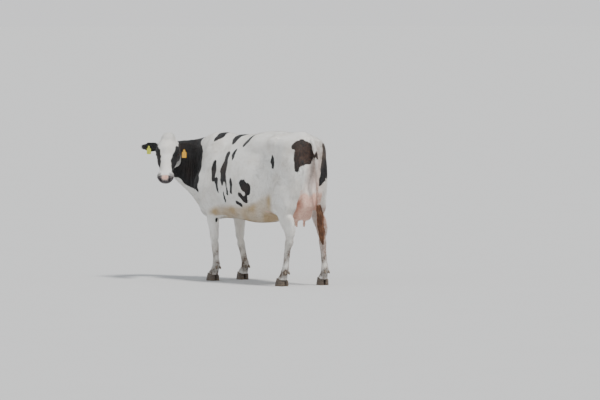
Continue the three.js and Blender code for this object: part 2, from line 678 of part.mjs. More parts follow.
const NECK_BASE = { point: [0, -655, 1100], normal: [0.06, -1, 0.28] };
const HEAD_BASE = { point: [0, 34, -80], normal: [0, -0.84, 0.54] }; // as the head is drawn
const HEAD_ROOM = { low: [-170, -540, -300], high: [170, 70, 60] }; // as the head is drawn
const TAIL_BASE = { point: [0, 978, 1430], normal: [0, 0.8, -0.6] };
const UDDER_TOP = { point: [0, 600, 775], normal: [0, 0.42, -1] };
const UDDER_FRONT = { point: [0, 486, 600], normal: [0, 1, 0.1] };

const foreOutline = [
  [-440, 1350], [-545, 1290], [-640, 1130], [-690, 980], [-670, 840], [-600, 720], [-560, 500], [-560, 200],
  [-600, -60], [-400, -90], [-190, -60], [-220, 200], [-260, 500], [-290, 700], [-305, 900], [-340, 1150],
];
const hindOutline = [
  [700, 1262], [590, 1200], [515, 1080], [470, 950], [450, 840], [480, 740], [590, 640], [670, 500], [660, 200],
  [620, -60], [840, -90], [1090, -60], [1110, 200], [1110, 480], [1090, 640], [1100, 820], [1105, 1000],
  [1090, 1150], [1010, 1250], [860, 1290],
];
const FORE_INNER_X = 104;
const HIND_INNER_X = 138;

function legRegion(name, grow) {
  const { side } = posture[name];
  if (name.startsWith("fore")) return sideRegion(foreOutline, side * FORE_INNER_X + bendAt(-400), side, grow);
  return sideRegion(hindOutline, side * HIND_INNER_X + bendAt(880), side, grow);
}
const legNames = Object.keys(posture);

function udderRegion(grow) {
  const off = CUT / 2 - grow;
  return beyond(UDDER_TOP.point, UDDER_TOP.normal, off)
    .intersect(beyond(UDDER_FRONT.point, UDDER_FRONT.normal, off));
}

// ---- trunk and neck

const dock = limb(dockStations, [[0, 0, 1], [0, 0.7, 0.7], [0, 1, 0], [0, 1, 0]]);
const brush = limb(switchStations, [0, 1, 0]);
const tailSpace = new THREE.Vector3();
const tail = (p) => {
  tailSpace.set(p.x - bendAt(p.y), p.y, p.z);
  return join(dock(tailSpace), brush(tailSpace), 16);
};
const dockMesh = [[-70, 860, 700], [160, 1130, 1540], [23, 23, 70]];
const DOCK_GAP = 2; // between the dock and the rump on both sides of it
const dockSlot = flesh(...dockMesh, {
  keep: [beyond(TAIL_BASE.point, TAIL_BASE.normal, -CUT / 2)],
  field: (p) => tail(p) - DOCK_GAP,
});

place("trunk", flesh([-470, -870, 490], [470, 1170, 1590], [108, 108, 94], {
  keep: [within(NECK_BASE.point, NECK_BASE.normal)],
  clear: [...legNames.map((n) => legRegion(n, CUT)), dockSlot, udderRegion(CUT)],
}), whiteHair);

// The head is what lies beyond one plane, inside a box in its own frame.
function headRegion(grow) {
  const low = new THREE.Vector3(...HEAD_ROOM.low).subScalar(grow);
  const high = new THREE.Vector3(...HEAD_ROOM.high).addScalar(grow);
  const size = high.clone().sub(low);
  const centre = low.add(high).multiplyScalar(0.5);
  const room = solidOf(new THREE.BoxGeometry(...size).translate(...centre))
    .intersect(beyond(HEAD_BASE.point, HEAD_BASE.normal, CUT / 2 - grow));
  return solidOf(geometryOf(room).applyMatrix4(headTurn));
}

place("neck", flesh([-280, -1200, 490], [580, -480, 1590], [61, 63, 68], {
  keep: [beyond(NECK_BASE.point, NECK_BASE.normal)],
  clear: [headRegion(CUT), legRegion("foreleg_left", CUT), legRegion("foreleg_right", CUT)],
}), blackHair);

// ---- head and eyes

// A surface meshed in a frame of its own, and then put in its place.
function framedSurface(frame, field, low, high, cell) {
  const q = new THREE.Vector3();
  const local = surfaceOf((p) => field(q.copy(p).applyMatrix4(frame)), low, high, cell);
  return solidOf(geometryOf(local).applyMatrix4(frame));
}

const headSurface = (grow) => framedSurface(
  headTurn, (p) => body(p) - grow, [-210, -590, -340], [210, 170, 110], [37, 40, 37]);

function nostril(x) {
  const [a, b, c] = NOSTRIL.size;
  const side = Math.sign(x);
  const [rx, ry, rz] = NOSTRIL.turn.map(THREE.MathUtils.degToRad);
  return solidOf(new THREE.SphereGeometry(1, 6, 5).scale(a, b, c)
    .applyMatrix4(new THREE.Matrix4().makeRotationFromEuler(new THREE.Euler(rx, side * ry, side * rz)))
    .translate(x, NOSTRIL.at[1], NOSTRIL.at[2])
    .applyMatrix4(headTurn));
}

const sides = { left: 1, right: -1 };
function eyeball(side, radius) {
  return solidOf(new THREE.SphereGeometry(radius, 9, 6)
    .translate(side * EYE.at[0], EYE.at[1], EYE.at[2]).applyMatrix4(headTurn));
}

// The almond-shaped gap between the lids.
function lidOpening(side) {
  return solidOf(new THREE.SphereGeometry(1, 8, 5).scale(...EYE.opening)
    .translate(side * EYE.lids, EYE.at[1], EYE.at[2]).applyMatrix4(headTurn));
}

let head = headSurface(0).intersect(headRegion(0));
for (const side of Object.values(sides)) {
  head = head.subtract(eyeball(side, EYE.radius + CUT)).subtract(lidOpening(side));
  head = head.subtract(nostril(side * NOSTRIL.at[0]));
}
place("head", largest(head), whiteHair);
for (const [name, side] of Object.entries(sides))
  place(`eye_${name}`, eyeball(side, EYE.radius), darkEye);

// ---- ears and their tags

// An ear is a thick leaf that stands out to the side, level, with its hollow face forward.
const EAR_ROOT = [84, -46, -94]; // as the head is drawn
const EAR_CUP = 10; // how far an ear's edges stand forward of its middle
const EAR_HEIGHT = 124;
const earStations = [
  [-16, 32, 22], [26, 40, 17], [70, 55, 12], [116, EAR_HEIGHT / 2, 10], [158, 53, 9], [190, 36, 8.5], [208, 15, 8],
];

function earFrame(side) {
  const level = new THREE.Vector3(0, 1, 0).applyAxisAngle(
    new THREE.Vector3(1, 0, 0), THREE.MathUtils.degToRad(90 - HEAD_PITCH));
  const out = new THREE.Vector3(side * 0.95, 0.2, -0.24).normalize();
  const up = level.addScaledVector(out, -level.dot(out)).normalize();
  const ahead = out.clone().cross(up).multiplyScalar(side);
  return headTurn.clone()
    .multiply(new THREE.Matrix4().makeTranslation(side * EAR_ROOT[0], EAR_ROOT[1], EAR_ROOT[2]))
    .multiply(new THREE.Matrix4().makeBasis(out.multiplyScalar(side), up, ahead));
}

function earSurface(side) {
  const leaf = limb(earStations.map(([u, high, thick]) => [side * u, 0, 0, high, thick, thick]), [0, 0, 1]);
  const q = new THREE.Vector3();
  const cupped = (p) => leaf(q.set(p.x, p.y, p.z - EAR_CUP * (2 * p.y / EAR_HEIGHT) ** 2));
  const [low, high] = side > 0 ? [-50, 232] : [-232, 50];
  const flat = surfaceOf(cupped, [low, -74, -32], [high, 74, 44], [38, 30, 12]);
  return solidOf(geometryOf(flat).applyMatrix4(earFrame(side)));
}

// A blank plastic tag hangs on a pin through the ear. u and v give the pin's place in the ear's frame.
const TAG = { width: 46, height: 60, thick: 3, neck: 22, button: 12, pin: 4 };
const tagPins = { left: { u: 72, v: -34 }, right: { u: 118, v: 2 } };
const TAG_FRONT = 15; // from the middle of the ear to the tag

function tagOutline() {
  const { width, height, neck } = TAG;
  const shape = new THREE.Shape();
  shape.absarc(0, 0, neck / 2, 0, Math.PI);
  shape.lineTo(-neck / 2, -12);
  shape.quadraticCurveTo(-width / 2, -14, -width / 2, -24);
  shape.lineTo(-width / 2, -height - 6);
  shape.quadraticCurveTo(-width / 2, -height - 14, -width / 2 + 8, -height - 14);
  shape.lineTo(width / 2 - 8, -height - 14);
  shape.quadraticCurveTo(width / 2, -height - 14, width / 2, -height - 6);
  shape.lineTo(width / 2, -24);
  shape.quadraticCurveTo(width / 2, -14, neck / 2, -12);
  return shape;
}

const disc = (radius, from, to) => solidOf(
  new THREE.CylinderGeometry(radius, radius, to - from, 8).rotateX(Math.PI / 2).translate(0, 0, (from + to) / 2));

function earTag(name, side) {
  const { u, v } = tagPins[name];
  const panel = new THREE.ExtrudeGeometry(tagOutline(), { depth: TAG.thick, bevelEnabled: false, curveSegments: 2 });
  const solid = solidOf(panel.translate(0, 0, TAG_FRONT))
    .add(disc(TAG.pin, -14, TAG_FRONT + 1))
    .add(disc(TAG.button, -16, -13));
  const at = earFrame(side).multiply(new THREE.Matrix4().makeTranslation(side * u, v, 0));
  return solidOf(geometryOf(solid).applyMatrix4(at));
}

const headRoom = headSurface(1.4);
for (const [name, side] of Object.entries(sides)) {
  const { u, v } = tagPins[name];
  const hole = disc(TAG.pin + CUT, -60, 60);
  const at = earFrame(side).multiply(new THREE.Matrix4().makeTranslation(side * u, v, 0));
  const ear = earSurface(side).subtract(headRoom).subtract(head).subtract(solidOf(geometryOf(hole).applyMatrix4(at)));
  place(`ear_${name}`, largest(ear), blackHair);
  place(`ear_tag_${name}`, earTag(name, side), tagPlastic);
}

// ---- udder and teats

const TEATS = {
  fore_left: [58, 610], fore_right: [-58, 610], hind_left: [46, 792], hind_right: [-46, 792],
};
const TEAT_LENGTH = 46;

// The height of the body's underside at a place, in the straight frame.
function undersideAt(x, y) {
  const p = new THREE.Vector3(x + bendAt(y), y, 500);
  while (body(p) > 0 && p.z < 900) p.z += 0.5;
  return p.z;
}

function teat([x, y], grow) {
  const root = undersideAt(x, y);
  const profile = [[0, -TEAT_LENGTH - 2], [8, -TEAT_LENGTH], [11, -TEAT_LENGTH * 0.6], [13, 20], [0, 22]];
  const grown = profile.map(([r, z]) => new THREE.Vector2(r && r + grow, z + (z > 20 ? grow : 0)));
  return solidOf(new THREE.LatheGeometry(grown, 7).rotateX(Math.PI / 2).translate(x + bendAt(y), y, root));
}

place("udder", flesh([-140, 430, 550], [260, 1070, 1020], [56, 64, 60], {
  keep: [udderRegion(0)],
  clear: [...legNames.filter((n) => n.startsWith("hind")).map((n) => legRegion(n, CUT)),
    ...Object.values(TEATS).map((at) => teat(at, CUT))],
}), pinkSkin);
for (const [name, at] of Object.entries(TEATS)) place(`teat_${name}`, teat(at, 0), pinkSkin);

// ---- tail

const SWITCH_TOP_Z = 790; // where the long hair of the tail begins
place("tail_dock", flesh(...dockMesh, {
  keep: [beyond(TAIL_BASE.point, TAIL_BASE.normal), beyond([0, 0, SWITCH_TOP_Z], [0, 0, 1])],
  field: tail,
}), whiteHair);
place("tail_switch", flesh([-150, 930, 350], [70, 1080, 860], [22, 22, 48], {
  keep: [within([0, 0, SWITCH_TOP_Z], [0, 0, 1])],
  field: tail,
}), stainedHair);

// ---- legs

const LEG_PARTS = {
  fore: [["shoulder", 2000, 660], ["forearm", 660, 395], ["cannon", 395, 0]],
  hind: [["thigh", 2000, 690], ["gaskin", 690, 480], ["cannon", 480, 0]],
};
const LEG_CELLS = {
  shoulder: [80, 82, 84], forearm: [33, 35, 66], thigh: [82, 84, 86], gaskin: [36, 38, 52], cannon: [29, 30, 70],
};
const CORONET_Z = 66; // height of the top of the claws, over the middle of the foot
const CORONET_SLOPE = 0.3; // how much the top of the claws falls towards the heel

function coronet(name) {
  const { foot: [x, y], side, toe } = posture[name];
  const turn = THREE.MathUtils.degToRad(side * toe);
  const fall = new THREE.Vector2(0, CORONET_SLOPE).rotateAround(new THREE.Vector2(), turn);
  return { point: [x + bendAt(y), y, CORONET_Z], normal: [fall.x, fall.y, 1] };
}

// A dewclaw is a small blunt cone behind the fetlock, pointing down and back.
function dewclaw(name, side, grow) {
  const { fetlock: [x, y, z] } = posture[name];
  const profile = [[0, -4], [10, -4], [12, 10], [9, 26], [0, 33]];
  const grown = profile.map(([r, h]) => new THREE.Vector2(r && r + grow, h < 0 ? h - grow : h + grow));
  const down = new THREE.Quaternion().setFromUnitVectors(
    new THREE.Vector3(0, 1, 0), new THREE.Vector3(side * 0.15, 0.45, -0.88).normalize());
  return solidOf(new THREE.LatheGeometry(grown, 6).applyQuaternion(down)
    .translate(x + bendAt(y) + side * 20, y + 28, z - 6));
}

// A claw: rings of one outline from the flat sole up to the sloping coronet.
const CLAW = { half: 25, apart: 27, toe: 74, heel: 48, points: 10 };
function claw(name, side) {
  const { foot: [x, y], side: leg, toe } = posture[name];
  const ring = (height, half, front, back) => Array.from({ length: CLAW.points }, (_, i) => {
    const a = (2 * Math.PI * i) / CLAW.points;
    const px = side * CLAW.apart + Math.sign(Math.cos(a)) * half * Math.abs(Math.cos(a)) ** 0.8;
    const py = Math.sin(a) > 0 ? back * Math.sin(a) : front * Math.sin(a);
    const top = CORONET_Z - CORONET_SLOPE * py - CUT;
    return new THREE.Vector3(px, py, height * top);
  });
  const { half, toe: front, heel: back } = CLAW;
  const rings = [
    ring(0, half - 2, front - 4, back - 3),
    ring(0.1, half, front, back),
    ring(1, half - 2, 50, back - 2),
  ];
  return solidOf(new LoftGeometry(rings, { capStart: true, capEnd: true })
    .rotateZ(THREE.MathUtils.degToRad(leg * toe)).translate(x + bendAt(y), y, 0));
}

for (const name of legNames) {
  const { foot, fetlock, side: leg } = posture[name];
  const x = foot[0] + bendAt(foot[1]);
  for (const [part, top, bottom] of LEG_PARTS[name.startsWith("fore") ? "fore" : "hind"]) {
    const low = [x - 260, foot[1] - 440, Math.max(bottom - 40, -20)];
    const high = [x + 260, foot[1] + 440, Math.min(top + 40, 1440)];
    const keep = [legRegion(name, 0), within([0, 0, top], [0, 0, 1]), beyond([0, 0, bottom], [0, 0, 1])];
    const clear = [];
    if (part === "cannon") {
      [low[0], high[0], low[1], high[1]] = [x - 90, x + 90, foot[1] - 120, fetlock[1] + 200];
      keep[2] = beyond(coronet(name).point, coronet(name).normal);
      clear.push(dewclaw(name, 1, CUT), dewclaw(name, -1, CUT));
    }
    place(`${name}_${part}`, flesh(low, high, LEG_CELLS[part], { keep, clear }), whiteHair);
  }
  for (const [where, side] of [["outer", leg], ["inner", -leg]]) {
    place(`${name}_claw_${where}`, claw(name, side), hoofHorn);
    place(`${name}_dewclaw_${where}`, dewclaw(name, side, 0), hoofHorn);
  }
}

// The origin is the middle of the underside of the whole cow.
const box = new THREE.Box3().setFromObject(cow);
const middle = box.getCenter(new THREE.Vector3());
for (const mesh of cow.children) mesh.geometry.translate(-middle.x, -middle.y, -box.min.z);

export default cow;
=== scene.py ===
"""A Holstein-Friesian dairy cow, standing still and looking round to her left, at life size.

One hide covers the whole body. Eyes, claws, ear tags and the hair of the tail are pieces of their own.
"""

import math

import bmesh
import bpy
import numpy as np
from mathutils import Matrix, Vector
from mathutils.bvhtree import BVHTree
from mathutils.kdtree import KDTree


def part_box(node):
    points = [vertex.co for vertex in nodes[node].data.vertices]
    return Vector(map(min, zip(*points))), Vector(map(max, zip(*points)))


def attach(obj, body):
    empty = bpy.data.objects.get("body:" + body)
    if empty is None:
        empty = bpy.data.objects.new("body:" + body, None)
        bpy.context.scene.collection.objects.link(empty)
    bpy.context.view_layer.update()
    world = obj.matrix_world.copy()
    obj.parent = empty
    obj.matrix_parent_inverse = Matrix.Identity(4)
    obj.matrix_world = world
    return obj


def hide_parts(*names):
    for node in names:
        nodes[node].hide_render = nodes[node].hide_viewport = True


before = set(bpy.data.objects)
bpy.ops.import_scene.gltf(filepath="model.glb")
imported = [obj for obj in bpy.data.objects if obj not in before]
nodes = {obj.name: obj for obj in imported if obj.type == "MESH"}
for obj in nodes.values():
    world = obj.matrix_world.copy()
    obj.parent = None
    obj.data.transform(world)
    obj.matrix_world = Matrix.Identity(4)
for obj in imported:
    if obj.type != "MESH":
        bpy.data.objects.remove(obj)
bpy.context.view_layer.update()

# ------------------------------------------------------------------ the hide: its shape
# The hide is skin with a short flat coat, in one piece from the muzzle to the tail and down to the claws. It
# is drawn over the solid body parts, rounded between their corners, and sunk by the coat's depth where hair
# grows.

FLESH = sorted(n for n in nodes if "claw" not in n and not n.startswith(("eye_", "ear_tag", "tail_switch")))
HIDE_CELL = 0.0075  # size of the hide's faces before the head is refined
ROUNDING = 0.75  # how far the hide bulges out between the corners of the solids
SEAM = 0.002  # faces closer than this to the next part are cuts through the body, and aren't skin
LEAN_REACH = 0.014  # corners this near to each other lean the same way
COAT_DEPTH = 0.003


def shell_of(name):
    """A solid's corners, with the doubles merged, and its triangles."""
    mesh = nodes[name].data
    mesh.calc_loop_triangles()
    places = np.empty(len(mesh.vertices) * 3)
    mesh.vertices.foreach_get("co", places)
    tris = np.empty(len(mesh.loop_triangles) * 3, np.int32)
    mesh.loop_triangles.foreach_get("vertices", tris)
    corners, index = np.unique(places.reshape(-1, 3).round(5), axis=0, return_inverse=True)
    return corners, index.ravel()[tris].reshape(-1, 3)


def unit(vectors):
    return vectors / np.maximum(np.linalg.norm(vectors, axis=-1, keepdims=True), 1e-12)


def normals_of(points, tris):
    """Unit normals of the triangles, and of the points as the mean of the triangles round them."""
    a, b, c = points[tris[:, 0]], points[tris[:, 1]], points[tris[:, 2]]
    cross = np.cross(b - a, c - a)
    total = np.zeros_like(points)
    for k in range(3):
        np.add.at(total, tris[:, k], cross)
    return unit(cross), unit(total)


def mesh_of(name, points, faces):
    """A mesh from points and faces of one size."""
    mesh = bpy.data.meshes.new(name)
    mesh.vertices.add(len(points))
    mesh.vertices.foreach_set("co", np.asarray(points, np.float32).ravel())
    mesh.loops.add(faces.size)
    mesh.loops.foreach_set("vertex_index", np.asarray(faces, np.int32).ravel())
    mesh.polygons.add(len(faces))
    mesh.polygons.foreach_set("loop_start", np.arange(0, faces.size, faces.shape[1], dtype=np.int32))
    mesh.update(calc_edges=True)
    return mesh


def put(name, mesh):
    """A new object that rides on the body."""
    piece = bpy.data.objects.new(name, mesh)
    bpy.context.scene.collection.objects.link(piece)
    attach(piece, "root")
    return piece


shells = {name: shell_of(name) for name in [*FLESH, "eye_left", "eye_right"]}
starts = np.cumsum([0] + [len(corners) for corners, _ in shells.values()])
corners = np.concatenate([c for c, _ in shells.values()])
triangles = np.concatenate([t + s for (_, t), s in zip(shells.values(), starts)])
owner = np.repeat(np.arange(len(shells)), [len(t) for _, t in shells.values()])
region_names = list(shells)


def skin_triangles():
    """Which triangles are skin, and not cuts between two parts: no other part faces them closely."""
    tree = BVHTree.FromPolygons(corners.tolist(), triangles.tolist())
    flat, _ = normals_of(corners, triangles)
    centres = corners[triangles].mean(axis=1)
    keep = np.ones(len(triangles), bool)
    for i, (at, ahead) in enumerate(zip(centres, flat)):
        _, _, hit, _ = tree.ray_cast(Vector(at + ahead * 5e-5), Vector(ahead), SEAM)
        if hit is not None and owner[hit] != owner[i] and flat[hit] @ ahead < -0.5:
            keep[i] = False
    keep[owner >= len(FLESH)] = False
    return keep


is_skin = skin_triangles()
skin_only = triangles[is_skin]
skin_owner = owner[is_skin]


def corner_normals():
    """Normals at the corners of the skin, evened out over the cuts between the parts."""
    _, rough = normals_of(corners, skin_only)
    used = np.unique(skin_only)
    tree = KDTree(len(used))
    for i in used:
        tree.insert(Vector(corners[i]), int(i))
    tree.balance()
    even = rough.copy()
    for i in used:
        near = [j for _, j, _ in tree.find_range(Vector(corners[i]), LEAN_REACH)]
        agree = [j for j in near if rough[j] @ rough[i] > 0.5]
        even[i] = rough[agree].sum(axis=0)
    return unit(even)


def rounded(points):
    """Moves points onto the rounded skin: out from the flat triangles, by the way their corners lean."""
    tree = BVHTree.FromPolygons(corners.tolist(), skin_only.tolist())
    found = [tree.find_nearest(Vector(p)) for p in points]
    at = np.array([f[0] for f in found])
    hit = np.array([f[2] for f in found])
    a, b, c = (corners[skin_only[hit, k]] for k in range(3))
    area = np.linalg.norm(np.cross(b - a, c - a), axis=1) + 1e-14
    shares = [np.linalg.norm(np.cross(q - at, r - at), axis=1) / area for q, r in ((b, c), (c, a), (a, b))]
    leaning = corner_normals()
    out = np.zeros_like(at)
    for k in range(3):
        corner, lean = corners[skin_only[hit, k]], leaning[skin_only[hit, k]]
        out += shares[k][:, None] * (at - ((at - corner) * lean).sum(axis=1, keepdims=True) * lean)
    return at + ROUNDING * (out - at), skin_owner[hit]


def remeshed(points, tris, cell, name):
    """One closed mesh of even faces round everything given."""
    rough = bpy.data.objects.new(name, mesh_of(name, points, tris))
    bpy.context.scene.collection.objects.link(rough)
    cover = rough.modifiers.new("cover", "REMESH")
    cover.mode = "VOXEL"
    cover.voxel_size = cell
    made = rough.evaluated_get(bpy.context.evaluated_depsgraph_get())
    mesh = bpy.data.meshes.new_from_object(made)
    bpy.data.objects.remove(rough)
    mesh.name = name
    return mesh


def points_of(mesh):
    places = np.empty(len(mesh.vertices) * 3)
    mesh.vertices.foreach_get("co", places)
    return places.reshape(-1, 3)


def move_points(mesh, points):
    mesh.vertices.foreach_set("co", points.astype(np.float32).ravel())
    mesh.update()


def neighbours_of(mesh):
    """For each point, a row of the points joined to it, filled up with the point itself, and their number."""
    edges = np.empty(len(mesh.edges) * 2, np.int32)
    mesh.edges.foreach_get("vertices", edges)
    edges = edges.reshape(-1, 2)
    both = np.concatenate([edges, edges[:, ::-1]])
    both = both[np.argsort(both[:, 0], kind="stable")]
    count = np.bincount(both[:, 0], minlength=len(mesh.vertices))
    first = np.cumsum(count) - count
    slots = np.arange(len(both)) - first[both[:, 0]]
    table = np.repeat(np.arange(len(mesh.vertices))[:, None], count.max(), axis=1)
    table[both[:, 0], slots] = both[:, 1]
    return table, count


def evened(values, around, times, share=0.5):
    """values after each point has moved towards the mean of its neighbours a number of times."""
    table, count = around
    spare = table.shape[1] - count
    if values.ndim > 1:
        count, spare = count[:, None], spare[:, None]
    for _ in range(times):
        mean = (values[table].sum(axis=1) - spare * values) / count
        values = values + share * (mean - values)
    return values


def smoothed(points, around, times, share, passes=3):
    """Evens a surface out without shrinking it: what the evening took away is evened too, and put back."""
    result = evened(points, around, times, share)
    for _ in range(passes - 1):
        result = result + evened(points - result, around, times, share)
    return result


def regions_of(words):
    """The parts with any of these words in their names, as numbers."""
    return [i for i, name in enumerate(region_names) if any(w in name for w in words)]


def part_mask(*words):
    """1 at the points of the hide that belong to parts with any of these words in their names."""
    return np.isin(region, regions_of(words)).astype(float)


def bump_at(values, middle, half_width):
    """1 at the middle, falling smoothly to 0 at half_width from it."""
    return np.clip(1 - ((values - middle) / half_width) ** 2, 0, 1) ** 2


def ball(middle, size, detail=3):
    """An ellipsoid's points and triangles."""
    work = bmesh.new()
    bmesh.ops.create_icosphere(work, subdivisions=detail, radius=1)
    points = np.array([v.co for v in work.verts]) * size + middle
    faces = np.array([[v.index for v in f.verts] for f in work.faces])
    work.free()
    return points, faces


HEAD_PITCH = math.radians(48)  # how far the nose points down
EYES_AT = Vector((0, -0.150, -0.084))  # the middle between the eyes, from the poll, in the head's frame


def middle_of(name):
    low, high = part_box(name)
    return (low + high) / 2


to_left_eye = (middle_of("eye_left") - middle_of("eye_right")).normalized()
head_heading = math.atan2(to_left_eye.y, to_left_eye.x)
head_turn = Matrix.Rotation(head_heading, 4, "Z") @ Matrix.Rotation(HEAD_PITCH, 4, "X")
between_eyes = (middle_of("eye_left") + middle_of("eye_right")) / 2
head_frame = Matrix.Translation(between_eyes) @ head_turn @ Matrix.Translation(-EYES_AT)
head_axes = np.array(head_frame.to_3x3())
poll = np.array(head_frame.translation)


def in_head(points):
    """Points in the head's own frame."""
    return (points - poll) @ head_axes


def out_of_head(points):
    return points @ head_axes.T + poll


# The nostrils are closed here, and drawn again on the finer hide.
NOSTRIL_PLUG, PLUG_SIZE = (0.042, -0.452, -0.092), (0.015, 0.019, 0.021)
for side in (1, -1):
    plug, plug_faces = ball(NOSTRIL_PLUG, PLUG_SIZE)
    plug = out_of_head(plug * (side, 1, 1))
    if side < 0:
        plug_faces = plug_faces[:, ::-1]
    triangles = np.concatenate([triangles, plug_faces + len(corners)])
    corners = np.concatenate([corners, plug])

hide_mesh = remeshed(corners, triangles, HIDE_CELL, "hide")
around = neighbours_of(hide_mesh)
places, region = rounded(points_of(hide_mesh))
thin = part_mask("ear_", "teat_")
firm = part_mask("head", "cannon", "tail_dock")
softness = evened(0.5 - 0.40 * thin - 0.22 * firm, around, 8)[:, None]
places = smoothed(places, around, 40, softness)
# Places on the body are given from a point of the floor this far behind the middle of the box.
OWN_ORIGIN = np.array([0.0, 0.0188, 0.0])

# Thighs, shoulders, neck and trunk flow into each other, so where they were cut is evened further.
height = places[:, 2]
back_at = places[:, 1] - OWN_ORIGIN[1]
knee_line = (part_mask("hindleg", "udder") * bump_at(height, 0.69, 0.13)
             + part_mask("foreleg") * bump_at(height, 0.66, 0.07))
flank_line = part_mask("thigh", "trunk") * bump_at(back_at, 0.49, 0.15) * bump_at(height, 0.86, 0.36)
neck_line = (part_mask("shoulder", "neck", "trunk") * bump_at(back_at, -0.62, 0.2)
             * bump_at(height, 0.95, 0.45))
places = smoothed(places, around, 60, evened(0.5 * np.maximum(flank_line, neck_line), around, 10)[:, None], 2)
breech = part_mask("thigh", "udder", "trunk") * bump_at(back_at, 0.98, 0.16) * bump_at(height, 0.92, 0.40)
soft_lines = np.maximum(knee_line, 0.6 * breech)
places = smoothed(places, around, 60, evened(0.5 * soft_lines, around, 10)[:, None], 1)
move_points(hide_mesh, places)

# ------------------------------------------------------------------ the hide: the head
# The skin of the face is thin and shows the skull: lids round the eyes, deep comma-shaped nostrils, the line
# of the mouth and the fine folds round them. The head has a frame of its own, nose towards -Y and crown up.


def refine(mesh, chosen):
    """Halves the faces whose middles chosen() picks."""
    work = bmesh.new()
    work.from_mesh(mesh)
    middles = np.array([f.calc_center_median() for f in work.faces])
    picked = np.flatnonzero(chosen(middles))
    work.faces.ensure_lookup_table()
    edges = list({e for i in picked for e in work.faces[i].edges})
    bmesh.ops.subdivide_edges(work, edges=edges, cuts=1, use_grid_fill=True)
    work.to_mesh(mesh)
    work.free()


EYE_MIDDLE = np.array([0.097, -0.150, -0.084])  # of the left eye; the right one is its mirror image
EYE_ZONE = 0.056  # radius of the fine skin round an eye
HEAD_BOX = ((-0.3, -0.55, -0.26), (0.3, 0.03, 0.12))
NOSE_BOX = ((-0.1, -0.55, -0.24), (0.1, -0.40, 0.02))


def mirrored(local):
    """The head's frame with both halves laid on the left one, and the side each point is on."""
    side = np.where(local[:, 0] < 0, -1.0, 1.0)
    return local * np.stack([side, np.ones_like(side), np.ones_like(side)], axis=1), side


def in_box(points, low, high):
    return ((points > low) & (points < high)).all(axis=1)


def on_head(points):
    return in_box(in_head(points), *HEAD_BOX)


def on_fine_parts(points):
    """Whether points are round the eyes or on the muzzle."""
    q, _ = mirrored(in_head(points))
    return (np.linalg.norm(q - EYE_MIDDLE, axis=1) < EYE_ZONE) | in_box(q, *NOSE_BOX)


def hide_normals():
    found = np.empty(len(hide_mesh.vertices) * 3, np.float32)
    hide_mesh.vertex_normals.foreach_get("vector", found)
    return found.reshape(-1, 3).astype(float)


for chosen, times in ((on_head, 10), (on_fine_parts, 14)):
    refine(hide_mesh, chosen)
    around = neighbours_of(hide_mesh)
    places = points_of(hide_mesh)
    zone = evened(chosen(places).astype(float), around, 4)
    places = smoothed(places, around, times, 0.5 * zone[:, None], 2)
    move_points(hide_mesh, places)


def ramp(x, low, high):
    """0 up to low, 1 from high on, and smooth between them."""
    t = np.clip((x - low) / (high - low), 0, 1)
    return t * t * (3 - 2 * t)


def higher(a, b, blend):
    """The greater of two heights, with a fillet."""
    reach = np.clip(blend - np.abs(a - b), 0, None) / blend
    return np.maximum(a, b) + reach ** 2 * blend / 4


# ---- the lids: rings of skin round an almond opening that hug the eyeball
EYE_RADIUS = 0.020
EYE_LOOKS = np.array([0.955, -0.290, 0.040])  # which way the opening faces
EYE_LONG = 0.0188  # half of the opening's length
EYE_OVER, EYE_UNDER = 0.0112, 0.0086  # its height above and below its middle
EYE_CORNER = 1.75  # 2 makes the opening an ellipse, and less makes its corners sharp
LID_THICK = 0.0032
ORBIT_DEPTH, ORBIT_SIZE = 0.0075, 0.036  # how far the face sinks round the eye, and how wide
# The creases of the lids: over (1) or under (-1) the eye, the distance from its opening, width and depth.
LID_CREASES = [(1, 0.0085, 0.0020, 0.0017), (-1, 0.0070, 0.0018, 0.0010),
               (1, 0.0140, 0.0024, 0.0011), (-1, 0.0120, 0.0020, 0.0008)]

looks = EYE_LOOKS / np.linalg.norm(EYE_LOOKS)
eye_ahead = np.array([0, -1.0, -0.20])  # the front corner of the eye is lower than the back one
eye_ahead = unit(eye_ahead - looks * (looks @ eye_ahead))
eye_up = np.cross(looks, eye_ahead)
eye_up = eye_up * np.sign(eye_up[2])


def round_eye(half):
    """Where points are in an eye's own frame, and how far they are outside its opening."""
    q = half - EYE_MIDDLE
    u, w, deep = q @ eye_ahead, q @ eye_up, q @ looks
    tall = np.where(w > 0, EYE_OVER, EYE_UNDER)
    a, b = np.abs(u) / EYE_LONG, np.abs(w) / tall
    rho = (a ** EYE_CORNER + b ** EYE_CORNER) ** (1 / EYE_CORNER) + 1e-9
    slope = np.hypot((a / rho) ** (EYE_CORNER - 1) / EYE_LONG, (b / rho) ** (EYE_CORNER - 1) / tall)
    return u, w, deep, (rho - 1) / np.maximum(slope, 1e-6)


half, side_of = mirrored(in_head(places))
flip = np.stack([side_of, np.ones_like(side_of), np.ones_like(side_of)], axis=1)
u, w, deep, edge = round_eye(half)
across = np.hypot(u, w)
sphere = np.sqrt(np.clip((EYE_RADIUS + LID_THICK) ** 2 - across ** 2, 0, None))
face = deep - ORBIT_DEPTH * bump_at(across, 0, ORBIT_SIZE)
lid = higher(sphere, face, 0.004)
for side, at, wide, depth in LID_CREASES:
    lid -= depth * bump_at(edge, at, wide) * (w * side > 0)
socket = np.sqrt(np.clip((EYE_RADIUS - 0.002) ** 2 - across ** 2, 0.004 ** 2, None))
new_deep = socket + (lid - socket) * ramp(edge, -0.0010, 0.0014)
round_it = (across < ORBIT_SIZE) & (half[:, 0] > 0.06) & (half[:, 0] < 0.15) & (deep > -0.02)
half = half + np.where(round_it, new_deep - deep, 0)[:, None] * looks

